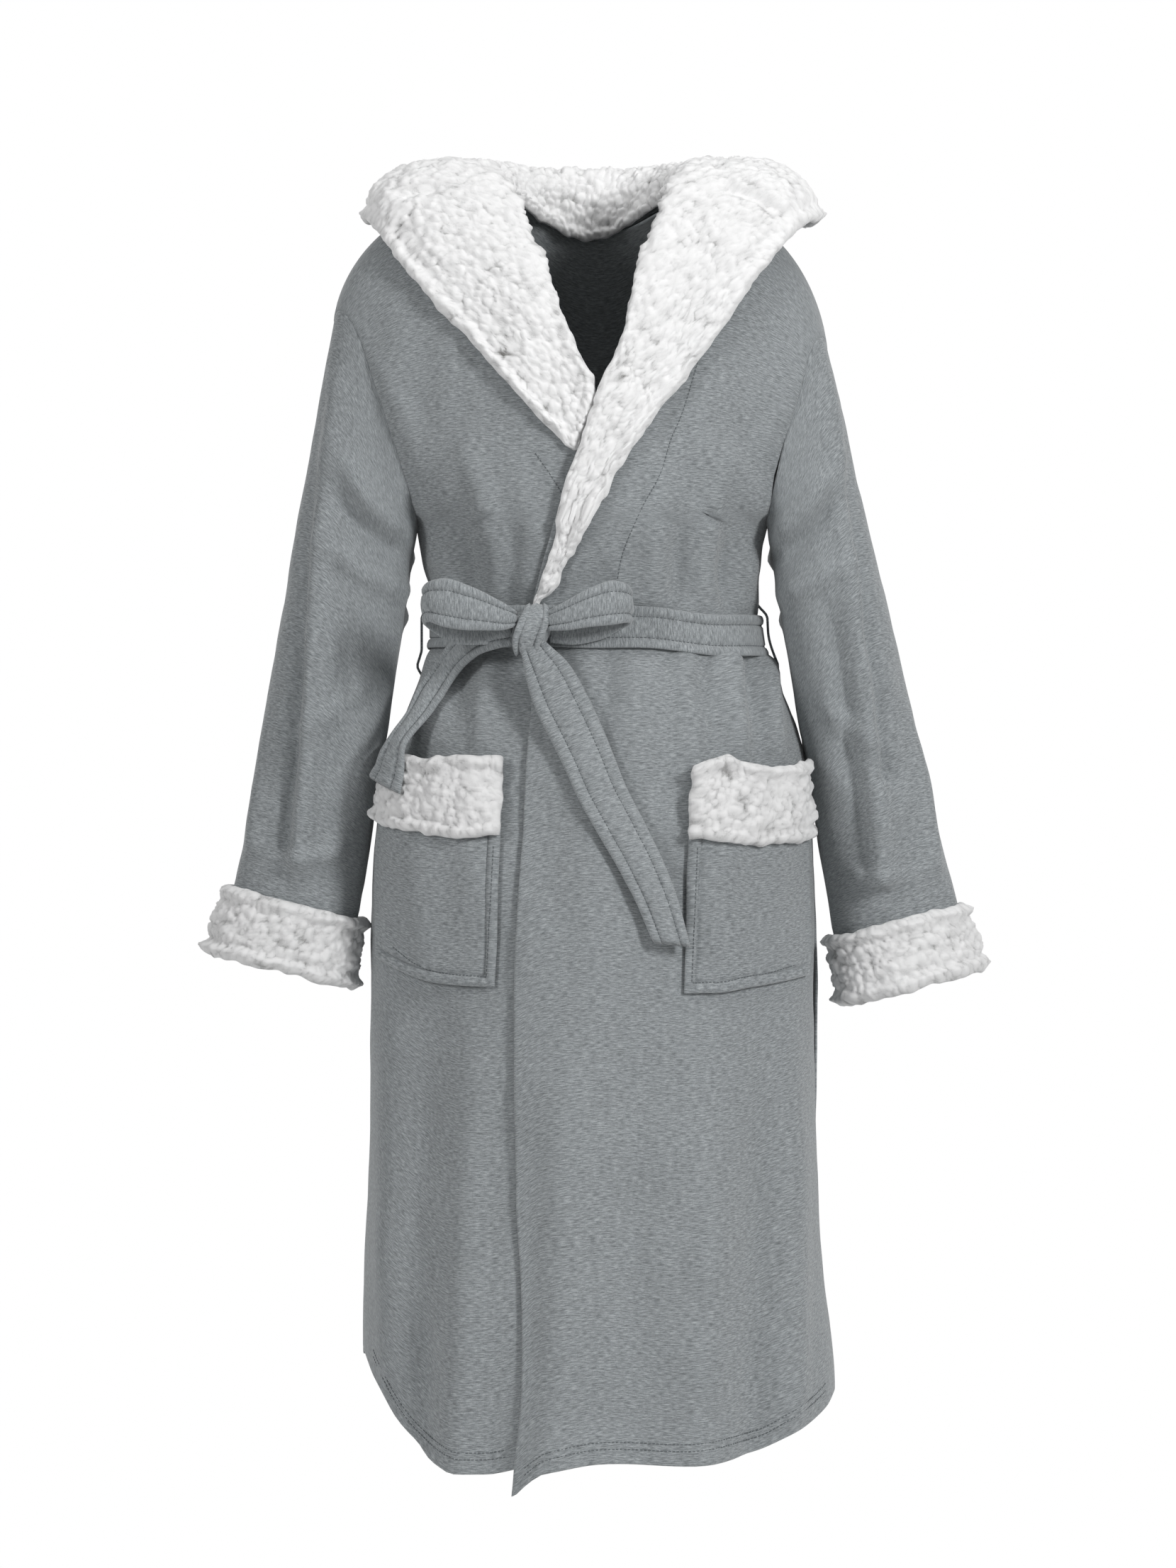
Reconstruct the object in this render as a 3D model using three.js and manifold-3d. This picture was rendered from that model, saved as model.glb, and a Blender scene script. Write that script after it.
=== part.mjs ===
// Hooded wrap bathrobe with a turned-back sherpa trim, worn closed with a tied belt.
// Millimetres, +Z up, the front faces -Y, the origin is the centre-back neck point.
import * as THREE from 'three';
import Module from 'manifold-3d';

// ---- Driving dimensions ----

const FABRIC = 3;            // thickness of the knit
const SHERPA = 8;            // thickness of the sherpa trim
const LINING = 6;            // thickness of the hood's sherpa lining
const SEAM_GAP = 0.5;        // clearance between two pieces that are sewn edge to edge
const FACE_GAP = 1.6;        // clearance between a piece and the face that it is laid on
const LAYER_GAP = 2.5;       // clearance between the two wrapped fronts

const SIDE_Y = -60;          // side seams and shoulder seams lie in this plane
const UNDERARM_Z = -275;     // level where the armholes start
const HEM_Z = -1118;         // hem at the centre
const HEM_RISE = 73;         // how much higher the hem is at the side seams
const HEM_ROUNDING = 3.5;    // power of the hem's curve

// Body sections below the underarm: height, half width, depth in front, depth behind.
const SECTIONS = [
  [-1140, 203, 152, 142],
  [-890, 196, 148, 140],
  [-690, 194, 144, 136],
  [-590, 192, 140, 132],
  [-450, 166, 124, 114],
  [-372, 142, 104, 96],
  [UNDERARM_Z, 152, 122, 108],
];
const SHOULDER_SPREAD = 100; // how much wider the chest section gets from underarm to shoulder

// One entry for each side of the body, the wearer's right at -X and the wearer's left at +X.
const SIDES = {
  right: { sign: -1, tipX: 229, tipZ: -100, neckX: 75, neckZ: 12, sleeveX: 265, sleeveZ: -612 },
  left: { sign: 1, tipX: 205, tipZ: -128, neckX: 70, neckZ: 5, sleeveX: 268, sleeveZ: -628 },
};
const NECK_DEPTH = 60;       // from the side plane back to the centre-back neck point

// Opening edge of each front: X at the shoulder, the underarm, the waist and the hem.
const UNDER_EDGE = { neck: -75, underarm: 62, waist: 92, hem: 108 };
const TOP_EDGE = { neck: 68, underarm: -33, waist: -55, hem: -68 };
const WAIST_Z = -372;

const UNDER_LAPEL = { widest: 111, base: 28, slope: 120 };
const TOP_LAPEL = { widest: 110, base: 27, slope: 90 };
const LAPEL_END_WIDTH = 6;
const COLLAR_STAND = 18;     // how far the collar stands off the shoulder beside the neck
const COLLAR_SPREAD = 22;    // and how much more it stands off at the shoulder's end

const BELT_WIDTH = 36.5;
const BELT_THICKNESS = 3;
const BELT_CLEAR = 2.2;      // clearance between the belt and the layer under it
const BELT_DIP = 8;          // how much lower the belt sits at the wearer's left
const KNOT = { x: -55, z: -373, width: 34, height: 37, depth: 24 };
const BOW_RIGHT = { length: 74, rise: 22, puff: 9 };
const BOW_LEFT = { length: 66, rise: 14, puff: 9 };
const TAIL_SHORT = { endX: -128, endZ: -506, width: 34 };
const TAIL_LONG = { endX: 56, endZ: -640, width: 34 };
const TAIL_START_Z = -396;
const TAIL_START_X = 14;      // from the knot's middle to the middle of each hanging end
const TAIL_START_WIDTH = 26;  // the belt is drawn in where it leaves the knot
const CARRIER = {
  width: 8,
  top: WAIST_Z - 12.5 + BELT_WIDTH,    // half a belt width of room above and below the belt,
  bottom: WAIST_Z - 5.5 - BELT_WIDTH,  // less what its dip takes, for the strap's bent ends
  clear: 3,
};
const LAPEL_END_Z = WAIST_Z + 6.75 + BELT_WIDTH / 2; // the top lapel runs out just above the belt

const POCKET = { top: -492, bottom: -690, gape: 11 };
const POCKET_INNER_X = { right: -82, left: 80 };
const POCKET_OUTER_SHARE = 0.95; // outer edge of a pocket, as a share of the skirt's half width
const BAND = { rise: 6, height: 66 };

const SLEEVE_HALF_WIDTH = 57;
const SLEEVE_HALF_DEPTH = 46;
const SLEEVE_TILT = 14;      // degrees that the wrist end leans outward
const CUFF_HEIGHT = 64;
const CUFF_FLARE = 4;        // the cuff widens towards its lower edge

// Hood lying open: distance from the neck's axis and height, from the neck seam to the rim,
// once straight behind and once over each shoulder.
const HOOD_BEHIND = [
  [64, 6], [92, -46], [112, -118], [130, -184], [153, -204], [172, -168], [182, -82], [190, 4],
];
const HOOD_BESIDE = [
  [80, 31], [98, 37], [120, 38], [140, 37], [158, 35], [174, 29], [186, 14], [191, -8],
];
const HOOD_AXIS_X = -4;
const HOOD_HINGE_Y = 6;      // the hanging part of the hood starts behind this plane
const HOOD_CUT = 0.8;        // clearance between the parts of the hood
const LINING_GAP = 4;        // clearance between the hood's shell and its lining

// ---- Small helpers ----

const rad = THREE.MathUtils.degToRad;
const lerp = THREE.MathUtils.lerp;
const clamp = THREE.MathUtils.clamp;
const smooth = (x, a, b) => THREE.MathUtils.smoothstep(x, a, b);
const V = (x, y, z) => new THREE.Vector3(x, y, z);

const wasm = await Module();
wasm.setup();
const { Manifold, Mesh } = wasm;

function material(color, roughness) {
  return new THREE.MeshStandardMaterial({ color, roughness, metalness: 0 });
}
const KNIT = () => material(0x9aa0a8, 0.95);
const TRIM = () => material(0xe9e6e0, 1);

const root = new THREE.Group();
root.name = 'bathrobe';

function add(name, geometry, look) {
  const mesh = new THREE.Mesh(geometry, look);
  mesh.name = name;
  root.add(mesh);
  return mesh;
}

// A closed sheet: outer(u, v) and inner(u, v) are its two faces, joined by a rim.
// wrapped sheets close on themselves in u, like a sleeve.
function sheet(outer, inner, across, along, wrapped = false) {
  const points = [];
  const faces = [];
  const columns = wrapped ? across : across + 1;
  for (const face of [outer, inner]) {
    for (let j = 0; j <= along; j++) {
      for (let i = 0; i < columns; i++) {
        points.push(face(i / across, j / along));
      }
    }
  }
  const half = columns * (along + 1);
  const at = (side, i, j) => side * half + j * columns + (i % columns);
  const quad = (a, b, c, d) => faces.push(a, b, c, a, c, d);
  for (let j = 0; j < along; j++) {
    for (let i = 0; i < across; i++) {
      quad(at(0, i, j), at(0, i + 1, j), at(0, i + 1, j + 1), at(0, i, j + 1));
      quad(at(1, i, j + 1), at(1, i + 1, j + 1), at(1, i + 1, j), at(1, i, j));
    }
  }
  for (let i = 0; i < across; i++) {
    quad(at(1, i, 0), at(1, i + 1, 0), at(0, i + 1, 0), at(0, i, 0));
    quad(at(0, i, along), at(0, i + 1, along), at(1, i + 1, along), at(1, i, along));
  }
  if (!wrapped) {
    for (let j = 0; j < along; j++) {
      quad(at(0, 0, j), at(0, 0, j + 1), at(1, 0, j + 1), at(1, 0, j));
      quad(at(1, across, j), at(1, across, j + 1), at(0, across, j + 1), at(0, across, j));
    }
  }
  return facingOut(points, faces);
}

// Builds the geometry and turns its faces round if they point inwards.
function facingOut(points, faces) {
  let volume = 0;
  for (let i = 0; i < faces.length; i += 3) {
    const [a, b, c] = [points[faces[i]], points[faces[i + 1]], points[faces[i + 2]]];
    volume += a.dot(V().crossVectors(b, c));
  }
  if (volume < 0) {
    faces.reverse();
  }
  const geometry = new THREE.BufferGeometry().setFromPoints(points);
  geometry.setIndex(faces);
  geometry.computeVertexNormals();
  return geometry;
}

// The unit normal of a surface point(u, v), found from its neighbours.
function normalOf(point, u, v) {
  const e = 1e-3;
  const along = point(u + e, v).sub(point(u - e, v));
  const across = point(u, v + e).sub(point(u, v - e));
  return along.cross(across).normalize();
}

// A smooth curve through stations of equal spacing, t from 0 to 1.
function through(stations, t) {
  const scaled = clamp(t, 0, 1) * (stations.length - 1);
  const k = Math.min(Math.floor(scaled), stations.length - 2);
  const f = scaled - k;
  const [p0, p1, p2, p3] = [-1, 0, 1, 2].map(
    (d) => stations[clamp(k + d, 0, stations.length - 1)],
  );
  return p1.map((b, i) => {
    const [a, c, d] = [p0[i], p2[i], p3[i]];
    return b + 0.5 * f * (c - a + f * (2 * a - 5 * b + 4 * c - d + f * (3 * (b - c) + d - a)));
  });
}

// ---- The body surface that every piece is laid on ----

function sectionAt(z) {
  let k = 0;
  while (k < SECTIONS.length - 2 && z > SECTIONS[k + 1][0]) {
    k++;
  }
  const [low, high] = [SECTIONS[k], SECTIONS[k + 1]];
  const f = clamp((z - low[0]) / (high[0] - low[0]), 0, 1);
  const eased = f * f * (3 - 2 * f);
  return [1, 2, 3].map((i) => lerp(low[i], high[i], lerp(f, eased, 0.7)));
}

// Height of the shoulder line over any X.
function shoulderZ(x) {
  const side = x < 0 ? SIDES.right : SIDES.left;
  const reach = clamp((Math.abs(x) - side.neckX) / (side.tipX - side.neckX), 0, 1);
  return side.tipZ + (side.neckZ - side.tipZ) * (1 - reach ** 2.6) ** 0.6;
}

// A point of the body surface. level is 0 at the hem, 1 at the underarm and 2 at the shoulder
// line; below 1 the angle runs round the body, and above 1 it sets X on the wider chest section.
function bodyAt(front, x, level) {
  const facing = front ? -1 : 1;
  if (level <= 1) {
    const side = clamp(x, -1, 1);
    const hem = HEM_Z + HEM_RISE * Math.abs(side) ** HEM_ROUNDING;
    const z = lerp(hem, UNDERARM_Z, level);
    const [width, depthFront, depthBack] = sectionAt(z);
    const depth = front ? depthFront : depthBack;
    return V(width * side, SIDE_Y + facing * depth * Math.sqrt(1 - side * side), z);
  }
  const climb = rad(90 * (Math.min(level, 2) - 1));
  const share = Math.sin(climb);
  const z = UNDERARM_Z + (shoulderZ(x) - UNDERARM_Z) * share;
  const [width, depthFront, depthBack] = sectionAt(UNDERARM_Z);
  const spread = width + SHOULDER_SPREAD * share ** 0.6;
  const depth = front ? depthFront : depthBack;
  const slope = Math.cos(climb) ** (front ? 1 : 0.65);
  const round = Math.sqrt(Math.max(0, 1 - (x / spread) ** 2));
  return V(x, SIDE_Y + facing * depth * round * slope, z);
}

// The same surface found from X and height, for pieces laid on the skirt.
function bodyBelow(front, x, z) {
  const [width, depthFront, depthBack] = sectionAt(z);
  const side = clamp(x / width, -1, 1);
  const depth = front ? depthFront : depthBack;
  return V(x, SIDE_Y + (front ? -1 : 1) * depth * Math.sqrt(1 - side * side), z);
}

const armholeX = (side, share) => {
  const width = SECTIONS[SECTIONS.length - 1][1];
  return side.sign * lerp(width, side.tipX, share);
};

function edgeBelow(edge, z) {
  if (z > WAIST_Z) {
    return lerp(edge.waist, edge.underarm, (z - WAIST_Z) / (UNDERARM_Z - WAIST_Z));
  }
  return lerp(edge.waist, edge.hem, Math.sqrt((WAIST_Z - z) / (WAIST_Z - HEM_Z)));
}

// How far the top front stands off the body where it covers the under front.
const WRAP_LIFT = FABRIC + LAYER_GAP;
function wrapLift(x, z) {
  const edge = z > UNDERARM_Z
    ? lerp(UNDER_EDGE.underarm, UNDER_EDGE.neck, (z - UNDERARM_Z) / (SIDES.right.neckZ - UNDERARM_Z))
    : edgeBelow(UNDER_EDGE, z);
  return WRAP_LIFT * (1 - smooth(x, edge + 6, edge + 46));
}

// Moves a point of a surface outwards. grow(point) is the distance at that point.
function raised(surface, grow, away = V(HOOD_AXIS_X, SIDE_Y, 0)) {
  return (u, v) => {
    const point = surface(u, v);
    const normal = normalOf(surface, clamp(u, 2e-3, 1 - 2e-3), clamp(v, 2e-3, 1 - 2e-3));
    const outwards = V(point.x - away.x, point.y - away.y, point.z > UNDERARM_Z ? 60 : 0);
    if (normal.dot(outwards) < 0) {
      normal.negate();
    }
    return point.addScaledVector(normal, grow(point));
  };
}

// Two faces of a sheet lying on a surface.
function laid(surface, lift, thickness, across, along) {
  const low = (p) => (typeof lift === 'number' ? lift : lift(p));
  return sheet(
    raised(surface, (p) => low(p) + thickness),
    raised(surface, low),
    across,
    along,
  );
}

// ---- Body panels ----

const EDGE_ANGLE = 0.25;     // degrees kept clear on each side of a side seam
const RIDGE_ANGLE = 0.7;     // degrees kept clear on each side of a shoulder seam

// Rows of a panel, from the hem (0) past the underarm (1) to the shoulder line (2); they are
// close together at the waist, where the belt draws the robe in.
const ROWS = [
  0, 0.17, 0.33, 0.46, 0.56, 0.64, 0.7, 0.76, 0.82, 0.86, 0.885, 0.91, 0.94, 0.97, 1,
  1.12, 1.25, 1.38, 1.51, 1.64, 1.77, 1.9, 2,
];
function rowLevel(v) {
  return through(ROWS.map((level) => [level]), v)[0];
}
function panelLevel(v) {
  const level = rowLevel(v);
  return level <= 1 ? level : 1 + (level - 1) * (1 - RIDGE_ANGLE / 90);
}

// A front: u runs from the side seam or armhole to the opening edge.
function frontSurface(side, edge) {
  return (u, v) => {
    const level = panelLevel(v);
    if (level <= 1) {
      const start = bodyAt(true, 0, level);
      const opening = edgeBelow(edge, start.z) / sectionAt(start.z)[0];
      const seam = side.sign * rad(90 - EDGE_ANGLE);
      return bodyAt(true, Math.sin(lerp(seam, Math.asin(opening), u)), level);
    }
    const share = Math.sin(rad(90 * (level - 1)));
    const spread = SECTIONS[SECTIONS.length - 1][1] + SHOULDER_SPREAD * share ** 0.6;
    const armhole = Math.asin(clamp(armholeX(side, share) / spread, -1, 1));
    const opening = Math.asin(lerp(edge.underarm, edge.neck, share) / spread);
    const seam = side.sign * Math.min(Math.abs(armhole), rad(90 - EDGE_ANGLE));
    return bodyAt(true, spread * Math.sin(lerp(seam, opening, u)), level);
  };
}

const underFront = frontSurface(SIDES.right, UNDER_EDGE);
const topFront = frontSurface(SIDES.left, TOP_EDGE);
add('right_front_panel', laid(underFront, 0, FABRIC, 12, 22), KNIT());
add('left_front_panel', laid(topFront, (p) => wrapLift(p.x, p.z), FABRIC, 14, 22), KNIT());

// The back: u runs from the wearer's right armhole to the left one, v from hem to neckline.
function backSurface(u, v) {
  const across = 2 * u - 1;
  const level = rowLevel(v);
  if (level <= 1) {
    return bodyAt(false, Math.sin(across * rad(90 - EDGE_ANGLE)), level);
  }
  const side = across < 0 ? SIDES.right : SIDES.left;
  const raw = 1 + (level - 1) * (1 - RIDGE_ANGLE / 90);
  const share = Math.sin(rad(90 * (raw - 1)));
  const spread = SECTIONS[SECTIONS.length - 1][1] + SHOULDER_SPREAD * share ** 0.6;
  const armhole = Math.asin(clamp(Math.abs(armholeX(side, share)) / spread, -1, 1));
  const reach = Math.min(armhole, rad(90 - EDGE_ANGLE));
  const x = spread * Math.sin(across * reach);
  const neck = clamp(1 - (x / side.neckX) ** 2, 0, 1);
  const depth = sectionAt(UNDERARM_Z)[2];
  const top = Math.acos((NECK_DEPTH / depth * Math.sqrt(neck)) ** (1 / 0.65)) / rad(90);
  return bodyAt(false, x, 1 + (raw - 1) * Math.min(1, top));
}
add('back_panel', laid(backSurface, 0, FABRIC, 24, 22), KNIT());

// ---- Lapels: the sherpa facing turned out along each opening edge ----

function collarLift(x, share) {
  const side = x < 0 ? SIDES.right : SIDES.left;
  const reach = clamp((Math.abs(x) - side.neckX) / (side.tipX - side.neckX), 0, 1);
  return smooth(share, 0.5, 1) * (COLLAR_STAND + COLLAR_SPREAD * reach);
}

// u runs from the opening edge outwards, v from the lower end to the shoulder line.
function underLapelSurface(u, v) {
  const share = lerp(0.215, 1, v);
  const climb = Math.asin(Math.min(share, 1)) * (1 - RIDGE_ANGLE / 90);
  const own = lerp(UNDER_EDGE.underarm, UNDER_EDGE.neck, share);
  const crossing = lerp(TOP_EDGE.underarm, TOP_EDGE.neck, share) - 4;
  const width = Math.min(UNDER_LAPEL.widest, UNDER_LAPEL.base + UNDER_LAPEL.slope * share);
  return bodyAt(true, lerp(Math.min(own, crossing), own - width, u), 1 + climb / rad(90));
}

function topLapelSurface(u, v) {
  const turn = 0.3;          // share of v spent between the belt and the underarm
  if (v < turn) {
    const z = lerp(LAPEL_END_Z, UNDERARM_Z, v / turn);
    const edge = edgeBelow(TOP_EDGE, z);
    const width = lerp(LAPEL_END_WIDTH, TOP_LAPEL.base, v / turn);
    return bodyBelow(true, edge + u * width, z);
  }
  const share = (v - turn) / (1 - turn);
  const climb = Math.asin(Math.min(share, 1)) * (1 - RIDGE_ANGLE / 90);
  const own = lerp(TOP_EDGE.underarm, TOP_EDGE.neck, share);
  const width = Math.min(TOP_LAPEL.widest, TOP_LAPEL.base + TOP_LAPEL.slope * share);
  return bodyAt(true, own + u * width, 1 + climb / rad(90));
}

const shareOf = (p) => (p.z - UNDERARM_Z) / (shoulderZ(p.x) - UNDERARM_Z);
const overPanel = FABRIC + FACE_GAP;
add('right_lapel', laid(
  underLapelSurface,
  (p) => overPanel + collarLift(p.x, shareOf(p)),
  SHERPA,
  6,
  12,
), TRIM());
add('left_lapel', laid(
  topLapelSurface,
  (p) => overPanel + wrapLift(p.x, p.z) + collarLift(p.x, shareOf(p)),
  SHERPA,
  6,
  16,
), TRIM());

// ---- Hood, lying open behind the neck ----

function hoodPoint(turn, v) {
  const behind = Math.cos(turn) ** 3;
  const [r0, z0] = through(HOOD_BEHIND, v);
  const [r1, z1] = through(HOOD_BESIDE, v);
  const r = lerp(r1, r0, behind);
  return V(HOOD_AXIS_X + r * Math.sin(turn), SIDE_Y + r * Math.cos(turn), lerp(z1, z0, behind));
}

function hoodSheet(low, high) {
  const limit = rad(89.6);
  const surface = (u, v) => hoodPoint(lerp(-limit, limit, u), v);
  const flip = normalOf(surface, 0.02, 0.3).z < 0 ? -1 : 1;
  const offset = (distance) => (u, v) => {
    const normal = normalOf(surface, clamp(u, 2e-3, 1 - 2e-3), clamp(v, 2e-3, 1 - 2e-3));
    return surface(u, v).addScaledVector(normal, flip * distance);
  };
  return sheet(offset(high), offset(low), 26, 18);
}

function toSolid(geometry) {
  return new Manifold(new Mesh({
    numProp: 3,
    vertProperties: new Float32Array(geometry.attributes.position.array),
    triVerts: new Uint32Array(geometry.index.array),
  }));
}

function toGeometry(solid) {
  const mesh = solid.getMesh();
  const position = new Float32Array(mesh.numVert * 3);
  for (let i = 0; i < mesh.numVert; i++) {
    position.set(mesh.vertProperties.subarray(i * mesh.numProp, i * mesh.numProp + 3), i * 3);
  }
  const geometry = new THREE.BufferGeometry();
  geometry.setAttribute('position', new THREE.BufferAttribute(position, 3));
  geometry.setIndex(new THREE.BufferAttribute(new Uint32Array(mesh.triVerts), 1));
  geometry.computeVertexNormals();
  return geometry;
}

// Cuts the whole hood into the collar that stays on the shoulders and the bag behind it,
// each with a seam down the middle.
for (const [layer, low, high, look] of [
  ['shell', -FABRIC, 0, KNIT],
  ['lining', LINING_GAP, LINING_GAP + LINING, TRIM],
]) {
  const whole = toSolid(hoodSheet(low, high));
  const gap = HOOD_CUT / 2;
  const bag = whole.trimByPlane([0, 1, 0], HOOD_HINGE_Y + gap);
  const collar = whole.trimByPlane([0, -1, 0], -(HOOD_HINGE_Y - gap));
  for (const [part, solid] of [['hood', bag], ['collar', collar]]) {
    const right = solid.trimByPlane([-1, 0, 0], gap - HOOD_AXIS_X);
    const left = solid.trimByPlane([1, 0, 0], gap + HOOD_AXIS_X);
    add(`${part}_right_${layer}`, toGeometry(right), look());
    add(`${part}_left_${layer}`, toGeometry(left), look());
  }
}

// ---- Sleeves and cuffs ----

// The armhole as a loop, turn 0 at the underarm, 0.5 at the shoulder tip, round the front first.
function armholeLoop(side, turn) {
  const front = turn <= 0.5;
  const rise = front ? turn * 2 : 2 - turn * 2;
  const climb = rad(90 * rise ** 1.25);
  const x = armholeX(side, Math.sin(climb));
  return bodyAt(front, x, Math.min(2, 1.0001 + climb / rad(90)));
}

// The wrist end as a loop with the same starting point, so the sleeve does not twist.
function wristLoop(side, turn, drop, grow) {
  const lean = rad(SLEEVE_TILT) * side.sign;
  const angle = 2 * Math.PI * turn;
  const inward = -side.sign * (SLEEVE_HALF_WIDTH + grow) * Math.cos(angle);
  const forward = -(SLEEVE_HALF_DEPTH + grow) * Math.sin(angle);
  const centreX = side.sign * side.sleeveX + Math.sin(lean) * drop;
  const centreZ = side.sleeveZ - Math.cos(lean) * drop;
  return V(
    centreX + inward * Math.cos(lean),
    SIDE_Y + forward,
    centreZ + inward * Math.sin(lean),
  );
}

const WRIST_ROW = 0.8;       // share of the sleeve's rows above the cuff
const CUFF_LEAD = 6;         // the sleeve takes the wrist's shape this far above the cuff
function sleeveSurface(side, clear) {
  return (u, v) => {
    const turn = ((u % 1) + 1) % 1;
    const start = armholeLoop(side, turn);
    start.x += side.sign * clear * 1.2;
    start.z -= clear * 0.5;
    if (v > WRIST_ROW) {
      const drop = lerp(-CUFF_LEAD, CUFF_HEIGHT - 8, (v - WRIST_ROW) / (1 - WRIST_ROW));
      return wristLoop(side, turn, drop, 0);
    }
    const down = clamp(v / WRIST_ROW, 0, 1);
    const full = Math.sin(Math.PI * down) * 10;
    const point = start.lerp(wristLoop(side, turn, -CUFF_LEAD, 0), down);
    point.y += (point.y < SIDE_Y ? -1 : 1) * full * Math.abs(Math.sin(2 * Math.PI * turn));
    return point;
  };
}

function tube(surface, centre, low, high, across, along) {
  const shifted = (distance) => (u, v) => {
    const point = surface(u, v);
    const normal = normalOf(surface, u, clamp(v, 2e-3, 1 - 2e-3));
    const outwards = point.clone().sub(centre(v));
    if (normal.dot(outwards) < 0) {
      normal.negate();
    }
    return point.addScaledVector(normal, distance);
  };
  return sheet(shifted(high), shifted(low), across, along, true);
}

for (const [name, side] of Object.entries(SIDES)) {
  const armCentre = V(side.sign * (SECTIONS[6][1] + side.tipX) / 2, SIDE_Y, (UNDERARM_Z + side.tipZ) / 2);
  const wristCentre = V(side.sign * side.sleeveX, SIDE_Y, side.sleeveZ - CUFF_HEIGHT);
  add(`${name}_sleeve`, tube(
    sleeveSurface(side, FABRIC + SEAM_GAP),
    (v) => armCentre.clone().lerp(wristCentre, v),
    -FABRIC,
    0,
    20,
    10,
  ), KNIT());
  const cuff = (u, v) => wristLoop(side, u, v * CUFF_HEIGHT, lerp(0, CUFF_FLARE, v) + SEAM_GAP);
  add(`${name}_cuff`, tube(
    cuff,
    (v) => V(
      side.sign * (side.sleeveX + Math.sin(rad(SLEEVE_TILT)) * v * CUFF_HEIGHT),
      SIDE_Y,
      side.sleeveZ - v * CUFF_HEIGHT,
    ),
    FACE_GAP,
    SHERPA + FACE_GAP,
    20,
    2,
  ), TRIM());
}

// ---- Pockets, sewn to the fronts on three sides, and their sherpa bands ----

for (const [name, xInner] of Object.entries(POCKET_INNER_X)) {
  const outerX = (z) => SIDES[name].sign * POCKET_OUTER_SHARE * sectionAt(z)[0];
  const lift = (x, z) => (name === 'left' ? wrapLift(x, z) : 0) + FABRIC + FACE_GAP;
  const share = (p) => clamp((p.x - xInner) / (outerX(p.z) - xInner), 0, 1);
  const gape = (p) => POCKET.gape * Math.sin(Math.PI * share(p)) ** 0.6
    * smooth(p.z, POCKET.bottom, lerp(POCKET.bottom, POCKET.top, 0.5));
  const patch = (low, high) => (u, v) => {
    const z = lerp(low, high, v);
    return bodyBelow(true, lerp(xInner, outerX(z), u), z);
  };
  add(`${name}_pocket`, laid(
    patch(POCKET.bottom, POCKET.top),
    (p) => lift(p.x, p.z) + gape(p),
    FABRIC,
    8,
    9,
  ), KNIT());
  const bandTop = POCKET.top + BAND.rise;
  add(`${name}_pocket_band`, laid(
    patch(bandTop - BAND.height, bandTop),
    (p) => lift(p.x, p.z) + gape(p) + FABRIC + FACE_GAP,
    SHERPA,
    8,
    3,
  ), TRIM());
}

// ---- Belt ----

const beltZ = (x) => WAIST_Z + 2 - BELT_DIP * smooth(x, 0, 150);

// The belt clears the wrapped fronts, and drops to the single layer behind and at the right.
function beltLift(front, x) {
  const covered = front ? smooth(x, -108, -66) * (1 - smooth(x, 104, 150)) : 0;
  return FABRIC + BELT_CLEAR + WRAP_LIFT * covered;
}

function beltFace(extra) {
  return (u, v) => {
    const angle = 2 * Math.PI * u;
    const front = Math.cos(angle) > 0;
    const share = Math.sin(angle);
    const middle = sectionAt(WAIST_Z)[0] * share;
    const z = beltZ(middle) + (v - 0.5) * BELT_WIDTH;
    const [width, depthFront, depthBack] = sectionAt(z);
    const depth = front ? depthFront : depthBack;
    const out = beltLift(front, middle) + extra;
    return V(
      (width + out) * share,
      SIDE_Y - (depth + out) * Math.cos(angle),
      z,
    );
  };
}
add('belt_waistband', sheet(beltFace(BELT_THICKNESS), beltFace(0), 48, 2, true), KNIT());

const waistDepth = sectionAt(WAIST_Z)[1];
const knotBack = SIDE_Y - waistDepth - FABRIC - BELT_CLEAR - WRAP_LIFT - BELT_THICKNESS - 1;
{
  const knot = new THREE.SphereGeometry(0.5, 16, 12);
  const spot = knot.attributes.position;
  for (let i = 0; i < spot.count; i++) {
    const p = V().fromBufferAttribute(spot, i).multiplyScalar(2);
    const blunt = (Math.abs(p.x) ** 2.8 + Math.abs(p.y) ** 2.8 + Math.abs(p.z) ** 2.8) ** (1 / 2.8);
    p.divideScalar(2 * blunt);
    spot.setXYZ(i, p.x * KNOT.width, p.y * KNOT.depth, p.z * KNOT.height);
  }
  const mesh = add('belt_knot', knot, KNIT());
  mesh.position.set(KNOT.x, knotBack - KNOT.depth / 2, KNOT.z);
}

// A bow loop: the belt folded back on itself, leaving an open eye.
function bowLoop(sign, bow) {
  const startX = KNOT.x + sign * (KNOT.width / 2 + 0.8);
  const face = (inset) => (u, v) => {
    const angle = 2 * Math.PI * u;
    const half = bow.length / 2;
    const reach = half + (half - inset) * Math.cos(angle);
    const puff = (bow.puff - inset) * Math.sin(angle);
    const fade = clamp(reach / bow.length, 0, 1);
    const x = startX + sign * reach;
    const depth = knotBack - KNOT.depth / 2 - 2 + puff + 5 * fade * fade;
    const width = BELT_WIDTH - 6 + 4 * fade;
    return V(x, depth, KNOT.z + 2 + bow.rise * fade ** 1.3 - fade * 3 + (v - 0.5) * width);
  };
  return sheet(face(0), face(BELT_THICKNESS), 20, 2, true);
}
add('bow_loop_right', bowLoop(-1, BOW_RIGHT), KNIT());
add('bow_loop_left', bowLoop(1, BOW_LEFT), KNIT());

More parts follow.
